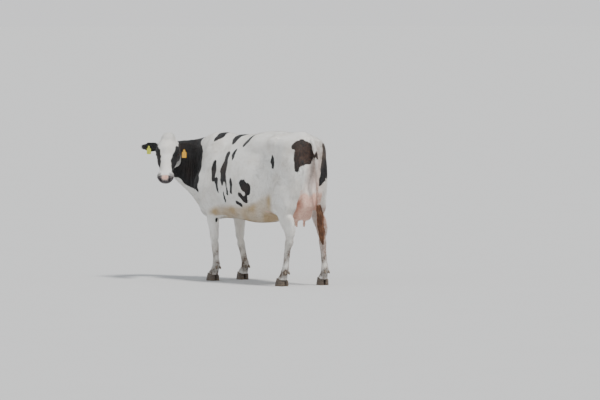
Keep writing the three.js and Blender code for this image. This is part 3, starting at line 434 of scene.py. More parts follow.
# ---- nostrils, the line of the mouth, and folds in the skin
NOSTRIL_AT = np.array([0.041, -0.468, -0.098])
NOSTRIL_FACES = unit(np.array([0.40, -0.86, 0.20]))
NOSTRIL_LEANS = np.array([0.66, 0.10, 0.74])  # its long axis: up and out
NOSTRIL_LONG, NOSTRIL_WIDE, NOSTRIL_DEEP = 0.0185, 0.0088, 0.017
NOSTRIL_CURL = 16  # how strongly the comma bends
long_way = unit(NOSTRIL_LEANS - NOSTRIL_FACES * (NOSTRIL_FACES @ NOSTRIL_LEANS))
wide_way = np.cross(NOSTRIL_FACES, long_way)
q = half - NOSTRIL_AT
u, w, deep = q @ long_way, q @ wide_way, q @ NOSTRIL_FACES
w = w + NOSTRIL_CURL * u ** 2
edge = (np.hypot(u / NOSTRIL_LONG, w / NOSTRIL_WIDE) - 1) * NOSTRIL_WIDE
near = (np.abs(deep) < 0.022) & (half[:, 1] < -0.41)
push = -NOSTRIL_DEEP * ramp(-edge, -0.0008, 0.0048) + 0.0026 * bump_at(edge, 0.0036, 0.0058)
half = half + np.where(near, push, 0)[:, None] * NOSTRIL_FACES


def far_from(points, path):
    """How far points are from a line through the path's places."""
    path = np.asarray(path, float)
    best = np.full(len(points), 9.0)
    for a, b in zip(path[:-1], path[1:]):
        along = b - a
        t = np.clip((points - a) @ along / (along @ along), 0, 1)
        best = np.minimum(best, np.linalg.norm(points - a - t[:, None] * along, axis=1))
    return best


# Lines on the head, in its own frame, on both sides: the path, the width and how far the skin rises or sinks.
FACE_LINES = [
    ([(0, -0.470, -0.150), (0.034, -0.458, -0.150), (0.058, -0.430, -0.148), (0.070, -0.392, -0.146),
      (0.070, -0.352, -0.140)], 0.0055, -0.0052),  # mouth
    ([(0.0, -0.486, -0.085), (0.0, -0.482, -0.148)], 0.0042, -0.0022),  # the groove below the nose
    ([(0.066, -0.366, -0.118), (0.072, -0.350, -0.134), (0.070, -0.336, -0.152)], 0.005, -0.0016),
    ([(0.064, -0.352, -0.112), (0.071, -0.334, -0.130), (0.069, -0.320, -0.150)], 0.005, -0.0012),
    ([(0.058, -0.430, -0.060), (0.070, -0.405, -0.085), (0.072, -0.388, -0.112)], 0.009, -0.0022),
    ([(0.100, -0.196, -0.098), (0.088, -0.250, -0.105), (0.076, -0.310, -0.106)], 0.016, 0.0030),  # cheekbone
    ([(0.076, -0.240, -0.060), (0.062, -0.330, -0.072), (0.060, -0.390, -0.080)], 0.006, 0.0012),  # vein
    ([(0.108, -0.080, -0.150), (0.112, -0.140, -0.180), (0.096, -0.200, -0.190)], 0.022, 0.0030),  # jaw
]
SKULL_MIDDLE = np.array([0, -0.25, -0.10])
# The same on the body, as it stands: the milk veins, and the spines of the shoulder blades.
BODY_LINES = [
    ([(0.02, 0.36, 0.60), (0.05, 0.20, 0.605), (0.06, 0.02, 0.625), (0.10, -0.10, 0.66)], 0.016, 0.006),
    ([(-0.28, 0.36, 0.60), (-0.31, 0.20, 0.605), (-0.32, 0.02, 0.625), (-0.34, -0.10, 0.66)], 0.016, 0.006),
    ([(0.12, -0.30, 1.28), (0.10, -0.42, 1.10), (0.13, -0.50, 0.95)], 0.035, 0.006),
    ([(-0.34, -0.30, 1.28), (-0.36, -0.42, 1.10), (-0.38, -0.50, 0.95)], 0.035, 0.006),
]
for path, wide, rise in FACE_LINES:
    bulge = rise * bump_at(far_from(half, path), 0, wide * 1.4)
    half = half + bulge[:, None] * unit(half - SKULL_MIDDLE)
places = out_of_head(half * flip)
move_points(hide_mesh, places)
ahead = hide_normals()
for path, wide, rise in BODY_LINES:
    bulge = rise * bump_at(far_from(places - OWN_ORIGIN, path), 0, wide * 1.6)
    places = places + bulge[:, None] * ahead

# Ribs show faintly on the barrel, and the neck's skin is folded on the inside of its bend.
RIB_STEP, RIB_RISE = 0.078, 0.0013
NECK_FOLDS, NECK_FOLD_RISE = 15, 0.0050
REAR_FOLD_STEP, REAR_FOLD_RISE = 0.048, 0.0060
NECK_TURN = np.array([0.057, -0.788])  # the middle of the neck's turn, seen from above
back_at = places[:, 1] - OWN_ORIGIN[1]
slant = back_at + 0.30 * (places[:, 2] - 1.0)
rib_zone = bump_at(slant, 0.10, 0.42) * bump_at(places[:, 2], 1.02, 0.28) * (np.abs(ahead[:, 0]) > 0.5)
lift = RIB_RISE * rib_zone * np.cos(2 * np.pi * slant / RIB_STEP)
spread = places[:, :2] - NECK_TURN
inside = 1 - ramp(np.linalg.norm(spread, axis=1), 0.085, 0.185)
folded = inside * bump_at(places[:, 2], 1.08, 0.34) * ~on_head(places) * (places[:, 1] < -0.5)
rear_folds = ramp(ahead[:, 1], 0.0, 0.6) * bump_at(places[:, 0], -0.09, 0.17)
rear_folds = rear_folds * bump_at(places[:, 2], 0.92, 0.32) * (back_at > 0.70)
rear_wave = np.cos(2 * np.pi * places[:, 0] / REAR_FOLD_STEP + 5 * (places[:, 2] - 0.9))
neck_wave = np.sin(np.arctan2(spread[:, 1], spread[:, 0]) * NECK_FOLDS + 9 * places[:, 2])
lift += REAR_FOLD_RISE * rear_folds * rear_wave
lift += NECK_FOLD_RISE * folded * neck_wave
places = places + lift[:, None] * ahead
move_points(hide_mesh, places)

# ------------------------------------------------------------------ the hide: its markings
# White, with a black neck, black sides to the face, streaks on the ribs and a brown-black rump. The udder,
# the muzzle and the rims of the eyes are bare skin. Lower legs are stained by mud and dung. The underside of
# the belly is tan: partly a stain, and partly painted shade with painted yellow bounce light from grass.

skin_tree = BVHTree.FromPolygons(corners.tolist(), skin_only.tolist())
hits = np.array([skin_tree.find_nearest(Vector(p))[2] for p in points_of(hide_mesh)])
region = skin_owner[hits]
around = neighbours_of(hide_mesh)
places = points_of(hide_mesh)
spots = places - OWN_ORIGIN
ahead = hide_normals()
half, side_of = mirrored(in_head(places))
head_x, head_y, head_z = half.T

# Streaks and patches of black on the body: places along each, with half of its width there.
WITHERS = [(0.00, -0.41, 1.41, 0.040), (-0.04, -0.40, 1.44, 0.052), (-0.10, -0.43, 1.46, 0.040)]
BACK_FORE = [(-0.02, -0.16, 1.395, 0.040), (-0.10, -0.17, 1.445, 0.058), (-0.125, -0.09, 1.455, 0.040)]
BACK_REAR = [(0.055, 0.11, 1.37, 0.028), (0.04, 0.15, 1.415, 0.044), (-0.015, 0.165, 1.455, 0.032)]
SLANT = [(0.13, 0.005, 1.23, 0.022), (0.08, -0.015, 1.305, 0.027)]
RIB_PATCH = [(0.08, -0.14, 1.265, 0.031), (0.125, -0.125, 1.18, 0.056), (0.16, -0.105, 1.10, 0.060),
             (0.175, -0.085, 1.045, 0.053)]
RIB_PATCH_FRONT = [(0.17, -0.117, 1.04, 0.025), (0.185, -0.10, 0.975, 0.021)]
RIB_PATCH_BACK = [(0.18, -0.037, 1.055, 0.022), (0.195, -0.018, 0.97, 0.018)]
SHOULDER_STREAK = [(0.10, -0.325, 1.175, 0.026), (0.12, -0.315, 1.095, 0.043), (0.14, -0.30, 1.03, 0.038)]
SHOULDER_TAIL = [(0.155, -0.24, 1.005, 0.031), (0.17, -0.18, 0.90, 0.015)]
DROP_REAR = [(0.205, 0.07, 1.005, 0.026), (0.21, 0.083, 0.905, 0.026)]
DROP_MIDDLE = [(0.20, -0.005, 0.935, 0.015), (0.195, 0.0, 0.875, 0.015)]
DROP_FORE = [(0.19, -0.067, 0.885, 0.017), (0.175, -0.068, 0.82, 0.017)]
SIDE_LOBE = [(0.21, 0.26, 0.99, 0.047), (0.20, 0.313, 0.945, 0.047), (0.19, 0.32, 0.88, 0.029)]
SIDE_LOBE_LOW = [(0.205, 0.22, 0.88, 0.024), (0.185, 0.295, 0.835, 0.036)]
LOW_STREAK = [(0.185, 0.158, 0.795, 0.021), (0.175, 0.205, 0.77, 0.019)]
FLANK_DROP = [(0.11, 0.612, 1.26, 0.019), (0.13, 0.643, 1.17, 0.028)]
THIGH_STREAK = [(-0.22, 1.01, 1.345, 0.039), (-0.215, 1.02, 1.19, 0.044), (-0.20, 1.015, 1.115, 0.045),
                (-0.20, 1.00, 1.045, 0.045), (-0.195, 0.995, 0.995, 0.021)]
ELBOW_SPOT = [(0.06, -0.36, 0.62, 0.018), (0.06, -0.355, 0.61, 0.016)]
RUMP_PATCH = [
    [(0.09, 0.98, 1.375, 0.050), (0.00, 1.00, 1.375, 0.045)],
    [(0.10, 1.015, 1.30, 0.058), (-0.04, 1.02, 1.285, 0.050)],
    [(0.11, 1.015, 1.225, 0.050), (-0.02, 1.015, 1.235, 0.042)],
    [(0.125, 1.01, 1.19, 0.034), (0.125, 1.01, 1.15, 0.020)],
]
# Black of the right side.
FAR_SIDE = [
    [(-0.43, -0.20, 1.25, 0.05), (-0.47, -0.10, 1.12, 0.08), (-0.48, -0.06, 0.98, 0.06)],
    [(-0.47, 0.22, 1.20, 0.03), (-0.48, 0.30, 1.02, 0.05), (-0.47, 0.27, 0.90, 0.025)],
    [(-0.42, 0.62, 1.22, 0.05), (-0.40, 0.72, 1.10, 0.06), (-0.40, 0.70, 0.98, 0.03)],
    [(-0.46, 0.02, 0.86, 0.015), (-0.45, 0.06, 0.78, 0.012)],
    [(-0.38, -0.40, 1.05, 0.03), (-0.40, -0.36, 0.92, 0.02)],
    [(-0.30, -0.25, 1.42, 0.03), (-0.36, -0.10, 1.36, 0.045), (-0.38, 0.02, 1.30, 0.02)],
    [(-0.33, 0.80, 1.36, 0.03), (-0.35, 0.90, 1.22, 0.03)],
]
PATCHES = [WITHERS, BACK_FORE, BACK_REAR, SLANT, RIB_PATCH, RIB_PATCH_FRONT, RIB_PATCH_BACK, SHOULDER_STREAK,
           SHOULDER_TAIL, DROP_REAR, DROP_MIDDLE, DROP_FORE, SIDE_LOBE, SIDE_LOBE_LOW, LOW_STREAK, FLANK_DROP,
           THIGH_STREAK, ELBOW_SPOT, *RUMP_PATCH, *FAR_SIDE]
DEPTH_SHARE = 0.25  # how much of the distance through the skin counts, so that a stroke lies on it as painted
DEPTH_REACH = 0.06  # up to this distance


def within(points, stroke):
    """How far points are inside a stroke of the given places and half-widths; negative outside."""
    stroke = np.asarray(stroke, float)
    best = np.full(len(points), -9.0)
    for a, b in zip(stroke[:-1], stroke[1:]):
        along = b[:3] - a[:3]
        t = np.clip((points - a[:3]) @ along / (along @ along), 0, 1)
        away = points - a[:3] - t[:, None] * along
        through = (away * ahead).sum(axis=1, keepdims=True)
        level = away - (1 - DEPTH_SHARE) * np.clip(through, -DEPTH_REACH, DEPTH_REACH) * ahead
        best = np.maximum(best, a[3] + t * (b[3] - a[3]) - np.linalg.norm(level, axis=1))
    return best


def ripples(points, length, seed):
    """Smooth noise between about -1 and 1, with waves of about this length."""
    spin = np.random.default_rng(seed)
    total = np.zeros(len(points))
    for _ in range(7):
        way = unit(spin.normal(size=3)) * 2 * math.pi / (length * spin.uniform(0.7, 1.4))
        total += np.sin(points @ way + spin.uniform(0, 6.3))
    return total / 2.6


warped = spots + 0.010 * np.stack([ripples(spots, 0.11, k) for k in (1, 2, 3)], axis=1)
warped += 0.0035 * np.stack([ripples(spots, 0.035, k) for k in (4, 5, 6)], axis=1)
BLACK_REACH = 0.05  # distances from the edge of the black are kept up to this far
black = np.full(len(spots), -BLACK_REACH)
for stroke in PATCHES:
    black = np.maximum(black, within(warped, stroke))

# The neck is black from behind the poll to a line in front of the shoulder, and white below.
x, y, z = warped.T
neck_back = np.interp(z, [0.86, 0.90, 1.00, 1.06, 1.12, 1.22, 1.36],
                      [-0.62, -0.53, -0.52, -0.555, -0.55, -0.56, -0.77])
neck_low = np.interp(y, [-1.05, -0.96, -0.93, -0.89, -0.70, -0.56], [1.04, 1.00, 0.945, 0.90, 0.89, 0.90])
neck_black = np.minimum(neck_back - y, z - neck_low)
of_neck = part_mask("neck", "shoulder", "trunk") > 0
black = np.where(of_neck, np.maximum(black, np.minimum(neck_black, BLACK_REACH)), black)

# The head: a white blaze and poll, black cheeks round the eyes, and a white jaw.
wobble = 0.006 * ripples(spots, 0.06, 7)
blaze = np.interp(head_y, [-0.42, -0.38, -0.30, -0.22, -0.15, -0.084, 0.0, 0.03],
                  [0.066, 0.062, 0.053, 0.056, 0.074, 0.100, 0.105, 0.11])
jaw = np.interp(head_y, [-0.40, -0.38, -0.30, -0.20, -0.10, 0.0],
                [-0.112, -0.120, -0.130, -0.152, -0.176, -0.185])
cheek = np.minimum(np.minimum(head_x - blaze, head_z - jaw), head_y + 0.395) + wobble
of_head = part_mask("head") > 0
black = np.where(of_head, np.minimum(cheek, BLACK_REACH), black)
black = np.where(part_mask("ear_") > 0, 0.03, black)
ear_root = np.where(side_of > 0, np.linalg.norm(half - (0.112, -0.035, -0.028), axis=1), 9)
black = np.minimum(black, (ear_root - 0.026) + wobble)
black = np.clip(evened(black, around, 3), -BLACK_REACH, BLACK_REACH)

# Bare skin, pink skin, mud, rust, and the belly's tan (a stain with painted shade and painted bounce light),
# each from 0 to 1.
nose_pad = ramp(-head_y, 0.428, 0.444) * ramp(head_z, -0.162, -0.150) * of_head
lips = ramp(-head_y, 0.36, 0.40) * bump_at(head_z, -0.149, 0.016) * of_head
eye_rim = ramp(-round_eye(half)[3], -0.0045, -0.0020) * (np.linalg.norm(half - EYE_MIDDLE, axis=1) < 0.040)
bag = evened(part_mask("udder", "teat"), around, 3)
bag_fade = ramp(bag, 0.05, 0.6) * (1 - 0.85 * ramp(spots[:, 2] + 0.03 * ripples(spots, 0.09, 12), 0.86, 0.96))
bare = np.maximum.reduce([nose_pad, lips, eye_rim, bag_fade])
nose_blotch = ripples(places, 0.022, 15)
nose_pink = nose_pad * (1 - ramp(head_x + 0.006 * nose_blotch, 0.024, 0.036))
nose_pink = nose_pink * ramp(head_z + 0.006 * nose_blotch, -0.104, -0.084)
pins = bump_at(spots[:, 0], -0.11, 0.16) * bump_at(spots[:, 1], 1.05, 0.16) * bump_at(spots[:, 2], 1.02, 0.48)
pink = np.maximum.reduce([0.9 * bag_fade, nose_pink, 0.50 * pins * (black < 0.0)])
muzzle_side = 0.75 * ramp(-head_y, 0.385, 0.425) * ramp(head_x, 0.030, 0.052) * of_head
dark_nose = np.maximum.reduce([nose_pad * (1 - nose_pink), lips * 0.9, eye_rim, muzzle_side])
legs = part_mask("cannon", "gaskin", "forearm")
mottle = 0.5 + 0.5 * ripples(spots * (1, 1, 0.45), 0.05, 8)
splash = 0.5 + 0.5 * ripples(spots * (1, 1, 0.6), 0.14, 9)
hind = (spots[:, 1] > 0.4).astype(float)
soil = legs * (1 - ramp(spots[:, 2], 0.14, 0.50 + 0.10 * hind)) * (0.25 + 0.85 * mottle)
hock_soil = legs * hind * bump_at(spots[:, 2], 0.34, 0.16) * splash * ramp(ahead[:, 1], -0.2, 0.7) * 0.8
soil = np.maximum(soil, hock_soil)
soil = np.maximum(soil, 0.55 * pins * ramp(splash, 0.45, 0.9) * (1 - bag))
by_tail = 1 - ramp(np.linalg.norm(spots - (-0.19, 1.00, 1.33), axis=1), 0.05, 0.17)
soil = np.maximum(soil, 0.70 * by_tail * (0.35 + 0.65 * mottle))
right_hind = part_mask("hindleg_right", "udder") * (1 - bag)
rust_side = ramp(ahead[:, 0] + 0.8 * ahead[:, 1], -0.3, 0.4)
rust = right_hind * rust_side * ramp(bump_at(spots[:, 2], 0.54, 0.34), 0.0, 0.5) * (0.45 + 0.55 * splash)
rust = np.maximum(rust, part_mask("tail_dock") * (1 - ramp(spots[:, 2], 0.80, 1.10)) * 0.8)
rump_brown = bump_at(spots[:, 1], 1.02, 0.16) * bump_at(spots[:, 2], 1.28, 0.22)
rump_brown = rump_brown * bump_at(spots[:, 0], 0.0, 0.24)
# The belly's underside is tinted tan: partly a stain, partly painted shade with painted bounce light from
# grass.
belly_line = np.interp(spots[:, 1], [-0.45, -0.29, 0.03, 0.31, 0.50, 0.62],
                       [0.70, 0.76, 0.77, 0.78, 0.87, 0.90])
tan = part_mask("trunk", "shoulder", "thigh") * (1 - ramp(spots[:, 2] - belly_line, -0.05, 0.02))
tan = tan * ramp(spots[:, 1], -0.50, -0.34) * (1 - ramp(spots[:, 1], 0.60, 0.72)) * (0.55 + 0.45 * splash)
MASKS = {
    "black": black, "bare": bare, "pink": pink, "dark_skin": dark_nose, "soil": evened(soil, around, 2),
    "rust": evened(rust, around, 4), "tan": evened(tan, around, 4), "brown": evened(rump_brown, around, 2),
}

# The hide lies below the tips of the coat.
haired = 1 - np.maximum(bare, part_mask("udder", "teat"))
places = places - ahead * (COAT_DEPTH * haired * (1 - 0.4 * of_head))[:, None]
places[:, 2] = np.maximum(places[:, 2], 0.004)
move_points(hide_mesh, places)
ahead = hide_normals()

# Which way the hair lies: back along the body, down the legs, outwards on the ears and away from the brow.
lie = np.tile((0.0, 1.0, -0.35), (len(places), 1))
down_legs = part_mask("cannon", "gaskin", "forearm", "tail", "udder")[:, None] > 0
lie = np.where(down_legs, (0.0, 0.15, -1.0), lie)
lie = np.where(part_mask("shoulder", "thigh")[:, None] > 0, (0.0, 0.55, -0.85), lie)
to_chest = unit(np.array([-0.10, -0.28, 1.0]) - places) * 1.05 + (0, 0, -0.3)
lie = np.where(part_mask("neck")[:, None] > 0, to_chest, lie)
whorl = (half - (0, -0.12, 0.02)) * (1, 1, 0.6)
face_way = (unit(whorl) * flip) @ head_axes.T
lie = np.where(of_head[:, None], face_way, lie)
ear_way = (np.array([1.0, 0.10, -0.12]) * flip) @ head_axes.T
lie = np.where(part_mask("ear_")[:, None] > 0, ear_way, lie)
lie = evened(unit(lie), around, 14)
lie = unit(lie - (lie * ahead).sum(axis=1, keepdims=True) * ahead)


def give(mesh, name, values):
    """Stores a number, or a direction, at each point of a mesh."""
    values = np.asarray(values, np.float32)
    if values.ndim == 1:
        mesh.attributes.new(name, "FLOAT", "POINT").data.foreach_set("value", values)
    else:
        mesh.attributes.new(name, "FLOAT_VECTOR", "POINT").data.foreach_set("vector", values.ravel())


for name, values in MASKS.items():
    give(hide_mesh, name, values)
give(hide_mesh, "lie", lie)
hide = put("hide", hide_mesh)
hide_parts(*FLESH)

# ------------------------------------------------------------------ the hide: its finish
# White hair is warm and slightly yellow, black hair is brown where the sun has bleached it, and both are
# dull. Bare skin is finely pebbled, and a little less dull than hair.


def feed(tree, node, sockets):
    """Sets a node's sockets to numbers, or joins them to other sockets."""
    for name, value in sockets.items():
        if isinstance(value, bpy.types.NodeSocket):
            tree.links.new(value, node.inputs[name])
        else:
            node.inputs[name].default_value = value


def add(tree, kind, sockets=None, **settings):
    """A node with its settings and its sockets."""
    made = tree.nodes.new(kind)
    for name, value in settings.items():
        setattr(made, name, value)
    feed(tree, made, sockets or {})
    return made


def mixed(tree, share, first, second):
    """first where share is 0, and second where it is 1."""
    return add(tree, "ShaderNodeMix", {0: share, 6: first, 7: second}, data_type="RGBA").outputs[2]


def sum_of(tree, kind, first, second, third=None):
    """A Math node's result."""
    sockets = {0: first, 1: second}
    if third is not None:
        sockets[2] = third
    return add(tree, "ShaderNodeMath", sockets, operation=kind).outputs[0]


def spread_out(tree, value, low, high, to_low=0.0, to_high=1.0):
    """value moved from the range low..high to another, and kept inside it."""
    sockets = {"Value": value, "From Min": low, "From Max": high, "To Min": to_low, "To Max": to_high}
    return add(tree, "ShaderNodeMapRange", sockets).outputs[0]


def speckle(tree, place, scale, detail=2.0, rough=0.5):
    sockets = {"Vector": place, "Scale": scale, "Detail": detail, "Roughness": rough}
    return add(tree, "ShaderNodeTexNoise", sockets).outputs[0]


def vector_math(tree, kind, sockets, result="Vector"):
    return add(tree, "ShaderNodeVectorMath", sockets, operation=kind).outputs[result]


def bumps(tree, height, strength, distance):
    """Normals over a surface that rises and sinks."""
    sockets = {"Height": height, "Strength": strength, "Distance": distance}
    return add(tree, "ShaderNodeBump", sockets).outputs[0]


def object_place(tree):
    return add(tree, "ShaderNodeTexCoord").outputs["Object"]


def mask_at(tree, name, result="Fac"):
    return add(tree, "ShaderNodeAttribute", attribute_name=name).outputs[result]


WHITE_HAIR, WHITE_HAIR_WARM = (0.80, 0.785, 0.75, 1), (0.66, 0.61, 0.54, 1)
BLACK_HAIR, BLACK_HAIR_BROWN = (0.009, 0.0085, 0.009, 1), (0.035, 0.018, 0.012, 1)
RUMP_BROWN = (0.085, 0.045, 0.030, 1)
# The belly's tan is partly a stain and partly painted shade with painted bounce light from grass.
BELLY_STAIN_AND_SHADE, MUD, RUST = (0.46, 0.31, 0.13, 1), (0.13, 0.085, 0.06, 1), (0.33, 0.115, 0.04, 1)
SKIN_PINK, SKIN_PINK_DEEP, SKIN_DARK = (0.78, 0.49, 0.38, 1), (0.62, 0.31, 0.23, 1), (0.045, 0.035, 0.038, 1)
COLOUR_INPUTS = ("Black", "Bare", "Pink", "Dark Skin", "Soil", "Rust", "Tan", "Brown", "Shade")
BLACK_BLUR = 0.0018  # half of the width of the edge between black and white
HAIR_ROUGH, SKIN_ROUGH = 0.68, 0.46


def cow_colours():
    """A node group: the colours of hair and skin, from the masks of the hide."""
    tree = bpy.data.node_groups.new("cow colours", "ShaderNodeTree")
    for name in COLOUR_INPUTS:
        tree.interface.new_socket(name, in_out="INPUT", socket_type="NodeSocketFloat")
    tree.interface.new_socket("Colour", in_out="OUTPUT", socket_type="NodeSocketColor")
    tree.interface.new_socket("Roughness", in_out="OUTPUT", socket_type="NodeSocketFloat")
    given = tree.nodes.new("NodeGroupInput").outputs
    place = object_place(tree)
    cloudy = speckle(tree, place, 5.0, 4.0)
    fine = speckle(tree, place, 60.0, 3.0, 0.6)
    white = mixed(tree, spread_out(tree, cloudy, 0.42, 0.85), WHITE_HAIR, WHITE_HAIR_WARM)
    black_tone = mixed(tree, spread_out(tree, cloudy, 0.50, 0.85), BLACK_HAIR, BLACK_HAIR_BROWN)
    brown_here = sum_of(tree, "MULTIPLY", given["Brown"], spread_out(tree, fine, 0.38, 0.60))
    black_tone = mixed(tree, brown_here, black_tone, RUMP_BROWN)
    edge = sum_of(tree, "MULTIPLY_ADD", sum_of(tree, "SUBTRACT", fine, 0.5), 0.010, given["Black"])
    is_black = spread_out(tree, edge, -BLACK_BLUR, BLACK_BLUR)
    # The belly's underside is tinted tan: a stain with painted shade and painted bounce light.
    colour = mixed(tree, spread_out(tree, given["Tan"], 0.0, 1.0, 0.0, 0.85), white, BELLY_STAIN_AND_SHADE)
    colour = mixed(tree, is_black, colour, black_tone)
    rusty = sum_of(tree, "MULTIPLY", given["Rust"], spread_out(tree, fine, 0.30, 0.62, 0.4, 1.0))
    colour = mixed(tree, rusty, colour, RUST)
    skin = mixed(tree, spread_out(tree, fine, 0.40, 0.68), SKIN_PINK, SKIN_PINK_DEEP)
    colour = mixed(tree, given["Pink"], colour, skin)
    dark = sum_of(tree, "MULTIPLY", given["Dark Skin"], spread_out(tree, fine, 0.30, 0.42, 0.75, 1.0))
    colour = mixed(tree, dark, colour, SKIN_DARK)
    muddy = sum_of(tree, "MULTIPLY", given["Soil"], spread_out(tree, fine, 0.32, 0.60, 0.35, 1.0))
    colour = mixed(tree, muddy, colour, MUD)
    bright = sum_of(tree, "MULTIPLY_ADD", given["Shade"], 0.16, 1.0)
    colour = add(tree, "ShaderNodeHueSaturation", {"Color": colour, "Value": bright}).outputs[0]
    rough = spread_out(tree, given["Bare"], 0.0, 1.0, HAIR_ROUGH, SKIN_ROUGH)
    ends = tree.nodes.new("NodeGroupOutput")
    tree.links.new(colour, ends.inputs["Colour"])
    tree.links.new(rough, ends.inputs["Roughness"])
    return tree


colours = cow_colours()


def coloured_by_masks(tree):
    """The colours of the cow in a material, fed by the masks that its mesh carries."""
    used = tree.nodes.new("ShaderNodeGroup")
    used.node_tree = colours
    for name in COLOUR_INPUTS:
        tree.links.new(mask_at(tree, name.lower().replace(" ", "_")), used.inputs[name])
    return used


def new_material(name):
    """A material, its tree and its Principled shader."""
    material = bpy.data.materials.new(name)
    material.use_nodes = True
    return material, material.node_tree, material.node_tree.nodes["Principled BSDF"]


def dress(mesh, finish):
    """Gives a mesh its material and smooth shading."""
    mesh.polygons.foreach_set("use_smooth", [True] * len(mesh.polygons))
    mesh.materials.append(finish)


GRAIN_SCALE, GRAIN_STRETCH = 420.0, 0.86  # the grain of the hair is drawn out along its lie

hide_finish, tree, surface = new_material("hide")
used = coloured_by_masks(tree)
place, along = object_place(tree), mask_at(tree, "lie", "Vector")
way = vector_math(tree, "DOT_PRODUCT", {0: place, 1: along}, "Value")
back = vector_math(tree, "SCALE", {0: along, "Scale": way})
back = vector_math(tree, "SCALE", {0: back, "Scale": GRAIN_STRETCH})
streaked = vector_math(tree, "SUBTRACT", {0: place, 1: back})
hair_grain = speckle(tree, streaked, GRAIN_SCALE, 3.0, 0.65)
pebbles = add(tree, "ShaderNodeTexVoronoi", {"Vector": place, "Scale": GRAIN_SCALE}).outputs["Distance"]
bare_here = mask_at(tree, "bare")
grain = add(tree, "ShaderNodeMix", {0: bare_here, 2: hair_grain, 3: pebbles}, data_type="FLOAT").outputs[0]
feed(tree, surface, {
    "Base Color": used.outputs["Colour"], "Roughness": used.outputs["Roughness"], "Specular IOR Level": 0.35,
    "Sheen Weight": 0.12, "Normal": bumps(tree, grain, 0.55, 0.0016),
})
dress(hide_mesh, hide_finish)

# ------------------------------------------------------------------ the eyes
# Wet glassy balls, nearly black, with a dark brown iris and an oblong pupil that lies level.

IRIS_AT = 0.0105  # radius of the iris
CORNEA_WIDE, CORNEA_RISE = 0.0125, 0.0012
IRIS_DARK, IRIS_BROWN = (0.020, 0.010, 0.006, 1), (0.075, 0.034, 0.016, 1)
BALL_DARK, BALL_PALE = (0.12, 0.085, 0.07, 1), (0.34, 0.27, 0.23, 1)
IRIS_RIM, PUPIL = (0.008, 0.006, 0.006, 1), (0.002, 0.002, 0.003, 1)

eye_finish, tree, surface = new_material("eye")
place = mask_at(tree, "gaze", "Vector")
iris_way = vector_math(tree, "MULTIPLY", {0: place, 1: (1.0, 1.0, 0.0)})
iris_far = vector_math(tree, "LENGTH", {0: iris_way}, "Value")
pupil_way = vector_math(tree, "MULTIPLY", {0: place, 1: (1.0, 2.1, 0.0)})
pupil_far = vector_math(tree, "LENGTH", {0: pupil_way}, "Value")
iris_tone = mixed(tree, speckle(tree, place, 900.0), IRIS_DARK, IRIS_BROWN)
ball_tone = mixed(tree, speckle(tree, place, 160.0), BALL_DARK, BALL_PALE)
colour = mixed(tree, spread_out(tree, iris_far, IRIS_AT - 0.0006, IRIS_AT + 0.0010), iris_tone, ball_tone)
rim_dark = spread_out(tree, iris_far, IRIS_AT - 0.0030, IRIS_AT)
rim_dark = sum_of(tree, "MULTIPLY", rim_dark, spread_out(tree, iris_far, IRIS_AT + 0.0014, IRIS_AT))
colour = mixed(tree, rim_dark, colour, IRIS_RIM)
colour = mixed(tree, spread_out(tree, pupil_far, 0.0066, 0.0058), colour, PUPIL)
feed(tree, surface, {"Base Color": colour, "Roughness": 0.06, "Specular IOR Level": 0.40})
for side, name in ((1, "eye_left"), (-1, "eye_right")):
    points, faces = ball((0, 0, 0), 1.0, 5)
    axes = np.stack([eye_ahead, eye_up, looks], axis=1)
    on_ball = points * (EYE_RADIUS - 0.0006)
    cornea = bump_at(np.hypot(on_ball[:, 0], on_ball[:, 1]), 0, CORNEA_WIDE)
    on_ball[:, 2] += CORNEA_RISE * cornea * (on_ball[:, 2] > 0)
    local = (on_ball @ axes.T + EYE_MIDDLE) * (side, 1, 1)
    if side * np.linalg.det(axes) < 0:
        faces = faces[:, ::-1]
    eye_mesh = mesh_of(name + "_ball", out_of_head(local), faces)
    give(eye_mesh, "gaze", on_ball)
    dress(eye_mesh, eye_finish)
    eye = put(name + "_ball", eye_mesh)
    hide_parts(name)

# ------------------------------------------------------------------ claws and dewclaws
# Two horn claws to a foot, with two small dewclaws behind them. Horn grows down from the coronet in fine
# rings, and is grey-brown, paler at the coronet and worn and muddy at the ground.

CLAW_CELL, DEWCLAW_CELL = 0.0026, 0.0018
CLAW_RINGS, CLAW_RING_HIGH = 0.0075, 0.00035
CLAW_FLAT = 0.0035  # the claw stands flat on the floor up to this height
HORN_DARK, HORN, HORN_PALE = (0.050, 0.038, 0.030, 1), (0.15, 0.115, 0.085, 1), (0.24, 0.19, 0.14, 1)
CLAW_MUD = (0.14, 0.10, 0.065, 1)

claw_finish, tree, surface = new_material("claw horn")
place = object_place(tree)
squeezed = add(tree, "ShaderNodeMapping", {"Vector": place, "Scale": (30.0, 30.0, 160.0)}).outputs[0]
rings = speckle(tree, squeezed, 1.0, 3.0, 0.6)
stains = speckle(tree, place, 45.0, 4.0, 0.6)
high = add(tree, "ShaderNodeSeparateXYZ", {0: place}).outputs["Z"]
colour = mixed(tree, spread_out(tree, rings, 0.35, 0.65), HORN_DARK, HORN)
colour = mixed(tree, spread_out(tree, high, 0.055, 0.085, 0.0, 0.5), colour, HORN_PALE)
low_mud = sum_of(tree, "MULTIPLY", spread_out(tree, high, 0.035, 0.0), spread_out(tree, stains, 0.40, 0.60))
feed(tree, surface, {
    "Base Color": mixed(tree, low_mud, colour, CLAW_MUD),
    "Roughness": spread_out(tree, stains, 0.3, 0.7, 0.38, 0.75),
    "Normal": bumps(tree, rings, 0.35, 0.001),
})
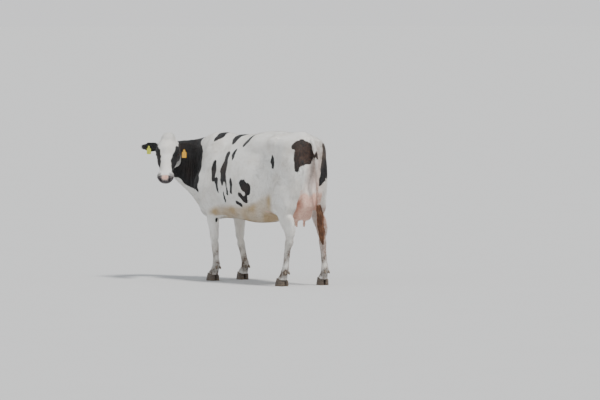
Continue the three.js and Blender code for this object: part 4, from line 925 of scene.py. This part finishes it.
for name in sorted(n for n in nodes if "claw" in n):
    points, faces = shell_of(name)
    claw_mesh = remeshed(points, faces, DEWCLAW_CELL if "dew" in name else CLAW_CELL, name + "_horn")
    points = smoothed(points_of(claw_mesh), neighbours_of(claw_mesh), 6, 0.5, 2)
    _, out = normals_of(points, np.array([p.vertices[:3] for p in claw_mesh.polygons]))
    rings_at = np.sin(2 * np.pi * (points[:, 2] + 0.25 * points[:, 1]) / CLAW_RINGS) * (points[:, 2] > 0.006)
    points = points + out * (CLAW_RING_HIGH * rings_at)[:, None]
    points[:, 2] = np.where(points[:, 2] < CLAW_FLAT, 0.0, points[:, 2])
    move_points(claw_mesh, points)
    dress(claw_mesh, claw_finish)
    claw = put(name + "_horn", claw_mesh)
    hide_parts(name)

# ------------------------------------------------------------------ ear tags
# A soft moulded plastic tag hangs in each ear on a stud pressed through the gristle. The left one is orange
# yellow and the right one green yellow. They are blank, scuffed and a little dirty.

TAG_CELL = 0.0011
TAG_DIRT = (0.12, 0.09, 0.05, 1)
for name, tone, faded in (("ear_tag_left", (0.80, 0.42, 0.03, 1), (0.62, 0.30, 0.05, 1)),
                          ("ear_tag_right", (0.58, 0.60, 0.05, 1), (0.40, 0.42, 0.08, 1))):
    tag_finish, tree, surface = new_material(name)
    place = object_place(tree)
    dirt = speckle(tree, place, 120.0, 5.0, 0.65)
    scuffs = speckle(tree, place, 700.0, 3.0, 0.7)
    colour = mixed(tree, spread_out(tree, dirt, 0.45, 0.75), tone, faded)
    feed(tree, surface, {
        "Base Color": mixed(tree, spread_out(tree, dirt, 0.60, 0.70, 0.0, 0.6), colour, TAG_DIRT),
        "Roughness": spread_out(tree, dirt, 0.35, 0.7, 0.38, 0.65),
        "Normal": bumps(tree, scuffs, 0.2, 0.0004),
    })
    points, faces = shell_of(name)
    tag_mesh = remeshed(points, faces, TAG_CELL, name + "_plate")
    move_points(tag_mesh, smoothed(points_of(tag_mesh), neighbours_of(tag_mesh), 3, 0.5, 2))
    dress(tag_mesh, tag_finish)
    tag = put(name + "_plate", tag_mesh)
    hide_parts(name)

# ------------------------------------------------------------------ the switch of the tail
# Long coarse hair that hangs from the end of the tail in locks, stained rust brown. A core of hair fills its
# middle, painted darker than the locks as shade inside the switch, and the locks lie over it from the top
# down.

SWITCH_LOCKS, LOCK_RINGS = 620, 9
CORE_SIDES, CORE_RINGS = 20, 26
CORE_SHARE, CORE_PAINTED_SHADE = 0.62, -0.6  # of the switch's radius, and darker than the locks: painted shade inside the switch
switch_low, switch_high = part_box("tail_switch")
switch_points, _ = shell_of("tail_switch")
slice_heights = np.linspace(switch_low.z + 0.004, switch_high.z - 0.004, 18)
slice_middles, slice_radii = [], []
for level in slice_heights:
    near = switch_points[np.abs(switch_points[:, 2] - level) < 0.05]
    weight = np.exp(-((near[:, 2] - level) / 0.02) ** 2)
    middle = (near * weight[:, None]).sum(axis=0) / weight.sum()
    slice_middles.append(middle[:2])
    slice_radii.append((np.linalg.norm(near[:, :2] - middle[:2], axis=1) * weight).sum() / weight.sum())


def in_switch(level):
    """The middle of the switch at a height, and its radius."""
    middle = np.array([np.interp(level, slice_heights, line) for line in zip(*slice_middles)])
    return middle, np.interp(level, slice_heights, slice_radii)


def locks(count, seed):
    """Tapered locks of hair down the switch: points, faces, and each point's shade."""
    dice = np.random.default_rng(seed)
    points, faces, shade = [], [], []
    for k in range(count):
        top = switch_high.z + 0.012 - 0.30 * dice.random() ** 1.4
        low = max(top - dice.uniform(0.13, 0.24), switch_low.z + 0.004 + 0.05 * dice.random() ** 2)
        turn, drift = dice.uniform(0, 2 * math.pi), dice.normal(0, 0.35)
        depth, wide = dice.uniform(0.45, 0.98), dice.uniform(0.0020, 0.0036)
        tone = dice.uniform(-1, 1)
        wave, phase = dice.uniform(0.0005, 0.0022), dice.uniform(0, 6.3)
        first = len(points)
        for r in range(LOCK_RINGS + 1):
            t = r / LOCK_RINGS
            level = top + (low - top) * t
            middle, radius = in_switch(level)
            a = turn + drift * t
            reach = radius * (depth + 0.12 * math.sin(math.pi * t)) + wave * math.sin(9 * t + phase)
            centre = np.array([*(middle + reach * np.array([math.cos(a), math.sin(a)])), level])
            out, round_way = np.array([math.cos(a), math.sin(a), 0]), np.array([-math.sin(a), math.cos(a), 0])
            swell = 0.35 + 0.65 * math.sin(math.pi * min(t * 1.6 + 0.12, 0.5))
            size = wide * swell * (1 - t ** 2.2) + 0.0002
            for side_way, rise in ((-1.0, 0.0), (0.0, 0.55), (1.0, 0.0), (0.0, -0.45)):
                points.append(centre + size * (side_way * round_way + rise * out))
                shade.append(tone)
            if r:
                for c in range(4):
                    a0 = first + (r - 1) * 4 + c
                    a1 = first + (r - 1) * 4 + (c + 1) % 4
                    faces.append((a0, a1, a1 + 4, a0 + 4))
    return np.array(points), np.array(faces)[:, ::-1], np.array(shade)


STAIN_DARK, STAIN, STAIN_PALE = (0.085, 0.035, 0.018, 1), (0.30, 0.13, 0.055, 1), (0.48, 0.30, 0.18, 1)
STRAND_DARK = (0.05, 0.022, 0.012, 1)
switch_finish, tree, surface = new_material("switch hair")
place = object_place(tree)
thin_way = add(tree, "ShaderNodeMapping", {"Vector": place, "Scale": (900.0, 900.0, 22.0)}).outputs[0]
strands = speckle(tree, thin_way, 1.0, 2.0)
patchy = speckle(tree, place, 22.0, 3.0)
tone = sum_of(tree, "MULTIPLY_ADD", mask_at(tree, "shade"), 0.25, patchy)
colour = mixed(tree, spread_out(tree, tone, 0.25, 0.75), STAIN_DARK, STAIN)
colour = mixed(tree, spread_out(tree, tone, 0.66, 0.95), colour, STAIN_PALE)
feed(tree, surface, {
    "Base Color": mixed(tree, spread_out(tree, strands, 0.35, 0.65, 0.0, 0.45), colour, STRAND_DARK),
    "Roughness": spread_out(tree, strands, 0.3, 0.7, 0.45, 0.7),
    "Normal": bumps(tree, strands, 0.5, 0.0006),
})
points, faces, shade = locks(SWITCH_LOCKS, 11)
core_points, core_faces = [], []
for r in range(CORE_RINGS + 1):
    level = switch_high.z + 0.006 - (switch_high.z - switch_low.z - 0.03) * r / CORE_RINGS
    middle, radius = in_switch(level)
    size = CORE_SHARE * radius * (1 - (r / CORE_RINGS) ** 6) + 0.0004
    for c in range(CORE_SIDES):
        a = 2 * math.pi * c / CORE_SIDES
        core_points.append((middle[0] + size * math.cos(a), middle[1] + size * math.sin(a), level))
    if r:
        for c in range(CORE_SIDES):
            a0 = (r - 1) * CORE_SIDES + c
            a1 = (r - 1) * CORE_SIDES + (c + 1) % CORE_SIDES
            core_faces.append((a0, a0 + CORE_SIDES, a1 + CORE_SIDES, a1))
switch_mesh = mesh_of("switch_hair", np.concatenate([core_points, points]),
                      np.concatenate([np.array(core_faces), faces + len(core_points)]))
# The core's darker tone is painted shade inside the switch.
give(switch_mesh, "shade", np.concatenate([np.full(len(core_points), CORE_PAINTED_SHADE), shade]))
dress(switch_mesh, switch_finish)
switch = put("switch_hair", switch_mesh)
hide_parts("tail_switch")

# ------------------------------------------------------------------ the coat
# Short flat hair in fine tufts that overlap like shingles along the lie of the coat. It is longest on the
# poll, the rims of the ears, the belly and the heels, and shortest on the face. The nose has none.

TUFTS = 118000
TUFT_POINTS = 7
TUFT_SINK = 0.0010  # how deep a root stands in the hide
PATCH = 0.0015  # half of a tuft's place on the map for baking
PIECES_OF_COAT = {
    "coat_face_left": ("head",),
    "coat_face_right": ("head",),
    "coat_ears": ("ear_",),
    "coat_neck": ("neck",),
    "coat_fore": ("shoulder", "forearm", "foreleg_left_cannon", "foreleg_right_cannon"),
    "coat_thighs": ("thigh",),
    "coat_hind": ("gaskin", "hindleg_left_cannon", "hindleg_right_cannon", "tail", "udder", "teat"),
    "coat_chest_left": ("trunk",),
    "coat_chest_right": ("trunk",),
    "coat_flank_left": ("trunk",),
    "coat_flank_right": ("trunk",),
}
SPINE_AT = -0.14  # the middle of the trunk, from side to side
LAST_RIB_AT = 0.15  # where the chest ends and the flanks begin

# Length, half-width, and how many tufts to an area, over the hide.
length = np.full(len(places), 0.0150)
wide = np.full(len(places), 0.0015)
dense = np.full(len(places), 1.0)
for words, long_here, wide_here, dense_here in (
    (("neck",), 0.0150, 0.0015, 1.0), (("thigh",), 0.0160, 0.0016, 1.0),
    (("gaskin", "forearm"), 0.0120, 0.0013, 1.4), (("cannon",), 0.0105, 0.0011, 2.2),
    (("head",), 0.0070, 0.0008, 4.2), (("ear_",), 0.0130, 0.0008, 6.5), (("tail",), 0.0160, 0.0012, 1.8),
    (("udder", "teat"), 0.0060, 0.0009, 0.35),
):
    here = part_mask(*words) > 0
    length[here], wide[here], dense[here] = long_here, wide_here, dense_here
low_belly = part_mask("trunk") * (1 - ramp(places[:, 2], 0.68, 0.80))
length += 0.006 * low_belly
topknot = of_head * ramp(head_y, -0.085, -0.010) * ramp(head_z, -0.05, -0.01) * (1 - ramp(head_x, 0.05, 0.09))
length += 0.014 * topknot
wide += 0.0004 * topknot
muzzle_short = of_head * ramp(-head_y, 0.26, 0.40)
length -= 0.0025 * muzzle_short
rim_of_ear = part_mask("ear_") * ramp(1 - (evened(ahead, around, 5) * ahead).sum(axis=1), 0.03, 0.25)
length += 0.014 * rim_of_ear
heel = part_mask("cannon") * bump_at(places[:, 2], 0.105, 0.075)
length += 0.009 * heel
cleft = ramp(-round_eye(half)[3], -0.010, -0.004) * (np.linalg.norm(half - EYE_MIDDLE, axis=1) < 0.040)
dense *= (1 - np.maximum(nose_pad, lips)) * (1 - cleft) * (1 - 0.9 * eye_rim)
dense = dense * (places[:, 2] > 0.085)
length = evened(length, around, 6)
wide = evened(wide, around, 6)
dense = np.where(dense > 0.01, evened(dense, around, 2), 0)

hide_mesh.calc_loop_triangles()
hide_tris = np.empty(len(hide_mesh.loop_triangles) * 3, np.int32)
hide_mesh.loop_triangles.foreach_get("vertices", hide_tris)
hide_tris = hide_tris.reshape(-1, 3)
a, b, c = (places[hide_tris[:, k]] for k in range(3))
share = np.linalg.norm(np.cross(b - a, c - a), axis=1) * dense[hide_tris].min(axis=1)
dice = np.random.default_rng(5)
chosen_tri = np.sort(dice.choice(len(hide_tris), TUFTS, p=share / share.sum()))
three = hide_tris[chosen_tri]
one, two = dice.random(TUFTS), dice.random(TUFTS)
one, two = np.where(one + two > 1, 1 - one, one), np.where(one + two > 1, 1 - two, two)
parts_of = np.stack([1 - one - two, one, two], axis=1)


def at_roots(values):
    """Values of the hide's points, at the roots of the tufts."""
    if values.ndim == 1:
        return (values[three] * parts_of).sum(axis=1)
    return (values[three] * parts_of[:, :, None]).sum(axis=1)


root, out, flat_way = at_roots(places), unit(at_roots(ahead)), at_roots(lie)
root_length = at_roots(length) * dice.uniform(0.75, 1.20, TUFTS)
root_wide = at_roots(wide) * dice.uniform(0.75, 1.25, TUFTS)
sideways = unit(np.cross(out, flat_way))
swirl = 0.16 * ripples(root, 0.06, 13) + dice.normal(0, 0.16, TUFTS)
flat_way = unit(unit(flat_way) + swirl[:, None] * sideways)
flat_way = unit(flat_way - (flat_way * out).sum(axis=1, keepdims=True) * out)
sideways = np.cross(out, flat_way)
raised = dice.uniform(0.35, 0.85, TUFTS) * COAT_DEPTH * np.clip(root_length / 0.015, 0.45, 1.0)
raised = raised + 0.15 * root_length * at_roots(topknot) + 0.70 * root_length * at_roots(rim_of_ear)
foot = root - out * TUFT_SINK
middle = root + flat_way * (0.50 * root_length)[:, None] + out * (0.75 * raised)[:, None]
tip = root + flat_way * root_length[:, None] + out * (raised * dice.uniform(0.55, 1.0, TUFTS))[:, None]
half_wide = root_wide[:, None]
tuft_points = np.stack([
    foot - sideways * half_wide,
    foot + sideways * half_wide,
    foot + out * 0.40 * half_wide,
    middle - sideways * 0.85 * half_wide,
    middle + sideways * 0.85 * half_wide,
    middle + out * 0.32 * half_wide,
    tip,
], axis=1)
tuft_points[:, :, 2] = np.maximum(tuft_points[:, :, 2], 0.003)
# A tuft is a three-sided blade that ends in a point, and is open only at its root, inside the hide.
tuft_faces = np.array([
    (0, 3, 5), (0, 5, 2), (2, 5, 4), (2, 4, 1), (1, 4, 3), (1, 3, 0), (3, 6, 5), (5, 6, 4), (4, 6, 3),
])
first = tuft_points[0]
if np.cross(first[3] - first[0], first[5] - first[0]) @ (out[0] - sideways[0]) < 0:
    tuft_faces = tuft_faces[:, ::-1]

root_masks = {name: at_roots(values) for name, values in MASKS.items()}
root_masks["black"] = root_masks["black"] + dice.normal(0, 0.0014, TUFTS)
shade = dice.normal(0, 0.45, TUFTS) + 0.35 * ripples(root, 0.10, 14)
root_region = region[three[:, 0]]
main_axis = np.argmax(np.abs(out), axis=1)
facing = main_axis * 2 + (out[np.arange(TUFTS), main_axis] > 0)

coat_finish, tree, surface = new_material("coat")
used = coloured_by_masks(tree)
hairs = speckle(tree, object_place(tree), 900.0)
feed(tree, surface, {
    "Base Color": used.outputs["Colour"], "Roughness": 0.62, "Specular IOR Level": 0.30, "Sheen Weight": 0.10,
    "Normal": bumps(tree, hairs, 0.3, 0.0005),
})


CHART_GAP = 0.01  # free room round each chart of the map for baking, in metres of hide


def map_places(picked):
    """Where roots lie on a flat map of the hide: a chart for each part, side and one of six directions."""
    charts = root_region[picked] * 6 + facing[picked]
    charts = charts * 2 + (root[picked, 0] > SPINE_AT)
    axis = facing[picked] // 2
    flat = np.where(axis[:, None] == 0, root[picked][:, [1, 2]],
                    np.where(axis[:, None] == 1, root[picked][:, [0, 2]], root[picked][:, [0, 1]]))
    sheets = []
    for chart in np.unique(charts):
        inside = charts == chart
        low = flat[inside].min(axis=0)
        sheets.append((flat[inside].max(axis=0) - low + 2 * CHART_GAP, low, inside))
    sheets.sort(key=lambda sheet: -sheet[0][1])
    row_wide = 1.1 * math.sqrt(sum(size[0] * size[1] for size, _, _ in sheets))
    row_wide = max(row_wide, max(size[0] for size, _, _ in sheets))
    spot, row_low, row_high = 0.0, 0.0, 0.0
    placed = np.zeros_like(flat)
    for size, low, inside in sheets:
        if spot + size[0] > row_wide:
            spot, row_low, row_high = 0.0, row_low + row_high, 0.0
        placed[inside] = flat[inside] - low + (spot + CHART_GAP, row_low + CHART_GAP)
        spot += size[0]
        row_high = max(row_high, size[1])
    return placed / max(row_wide, row_low + row_high) * (1 - 4 * PATCH) + 2 * PATCH


# Each corner of a tuft has its own place on the patch, so that no face of it is empty there.
PATCH_PLACES = np.array([(-1, -1), (1, -1), (0, -0.6), (-0.7, 0.3), (0.7, 0.3), (0, 0.1), (0, 1)]) * PATCH
for name, words in PIECES_OF_COAT.items():
    of_piece = np.isin(root_region, regions_of(words))
    if "face" in name:
        of_piece &= (in_head(root)[:, 0] > 0) == name.endswith("left")
    if "chest" in name or "flank" in name:
        of_piece &= (root[:, 0] > SPINE_AT) == name.endswith("left")
        of_piece &= (root[:, 1] < LAST_RIB_AT) == ("chest" in name)
    picked = np.flatnonzero(of_piece)
    faces = (np.arange(len(picked))[:, None, None] * TUFT_POINTS + tuft_faces[None]).reshape(-1, 3)
    coat_mesh = mesh_of(name, tuft_points[picked].reshape(-1, 3), faces)
    for mask, values in root_masks.items():
        give(coat_mesh, mask, np.repeat(values[picked], TUFT_POINTS))
    give(coat_mesh, "shade", np.repeat(shade[picked], TUFT_POINTS))
    on_map = map_places(picked)[:, None, :] + PATCH_PLACES[None]
    bake_map = coat_mesh.uv_layers.new(name="OFBake")
    bake_map.data.foreach_set("uv", on_map.reshape(-1, 2)[faces.ravel()].astype(np.float32).ravel())
    dress(coat_mesh, coat_finish)
    coat = put(name, coat_mesh)

# ------------------------------------------------------------------ floor, light and camera
# A plain pale studio floor that runs to the horizon, a strong light from high beside the camera, a weaker and
# softer one from the other side, and a long lens far from the cow.

FLOOR_HALF = 900.0
FLOOR_TONE = 0.56
SKY_TONE, SKY_STRENGTH = (0.90, 0.95, 1.0, 1), 0.72
BACKDROP_TONE = (0.95, 0.955, 0.965, 1)  # as bright as the lit floor
FRAMED_AT = Vector((-0.1393, 0.0225, 0.9))  # the middle of the cow
CAMERA_FROM = Vector((0.6152, 0.7874, 0.0384)).normalized()
CAMERA_FAR, CAMERA_LENS = 45.0, 272.7
FRAME_RIGHT, FRAME_UP = 0.4554, -0.0891  # how far from the middle of the cow the camera aims

floor_mesh = mesh_of("floor", np.array([(-1, -1, 0), (1, -1, 0), (1, 1, 0), (-1, 1, 0)]) * FLOOR_HALF,
                     np.array([(0, 1, 2, 3)]))
floor_finish, tree, surface = new_material("floor")
floor_grain = speckle(tree, object_place(tree), 1.3)
colour = mixed(tree, floor_grain, (FLOOR_TONE * 0.985,) * 3 + (1,), (FLOOR_TONE * 1.015,) * 3 + (1,))
feed(tree, surface, {"Base Color": colour, "Roughness": 1.0, "Specular IOR Level": 0.0})
floor_mesh.materials.append(floor_finish)
floor = bpy.data.objects.new("floor", floor_mesh)
bpy.context.scene.collection.objects.link(floor)

world = bpy.data.worlds.new("studio")
bpy.context.scene.world = world
world.use_nodes = True
sky = world.node_tree.nodes["Background"]
feed(world.node_tree, sky, {"Color": SKY_TONE, "Strength": SKY_STRENGTH})
backdrop = add(world.node_tree, "ShaderNodeBackground", {"Color": BACKDROP_TONE, "Strength": 1.0})
seen = add(world.node_tree, "ShaderNodeLightPath").outputs["Is Camera Ray"]
either = add(world.node_tree, "ShaderNodeMixShader", {0: seen, 1: sky.outputs[0], 2: backdrop.outputs[0]})
world.node_tree.links.new(either.outputs[0], world.node_tree.nodes["World Output"].inputs["Surface"])


def sun(name, way, strength, width, tone):
    """A far lamp that shines from a direction, with soft shadows."""
    lamp = bpy.data.lights.new(name, "SUN")
    lamp.energy = strength
    lamp.angle = math.radians(width)
    lamp.color = tone
    made = bpy.data.objects.new(name, lamp)
    made.rotation_euler = Vector(way).to_track_quat("Z", "Y").to_euler()
    bpy.context.scene.collection.objects.link(made)


frame_side = Vector((0, 0, 1)).cross(CAMERA_FROM).normalized()
sun("key", 0.55 * frame_side + 0.55 * CAMERA_FROM + Vector((0, 0, 1.35)), 3.7, 10, (1.0, 0.975, 0.94))
sun("fill", -0.9 * frame_side + 0.7 * CAMERA_FROM + Vector((0, 0, 0.5)), 0.45, 60, (0.94, 0.97, 1.0))

camera_data = bpy.data.cameras.new("camera")
camera_data.lens = CAMERA_LENS
camera_data.clip_end = 3000.0
camera = bpy.data.objects.new("camera", camera_data)
bpy.context.scene.collection.objects.link(camera)
stands_at = FRAMED_AT + CAMERA_FAR * CAMERA_FROM
frame_top = CAMERA_FROM.cross(frame_side)
aims_at = FRAMED_AT + FRAME_RIGHT * frame_side + FRAME_UP * frame_top
camera.location = stands_at
camera.rotation_euler = (stands_at - aims_at).to_track_quat("Z", "Y").to_euler()
bpy.context.scene.camera = camera
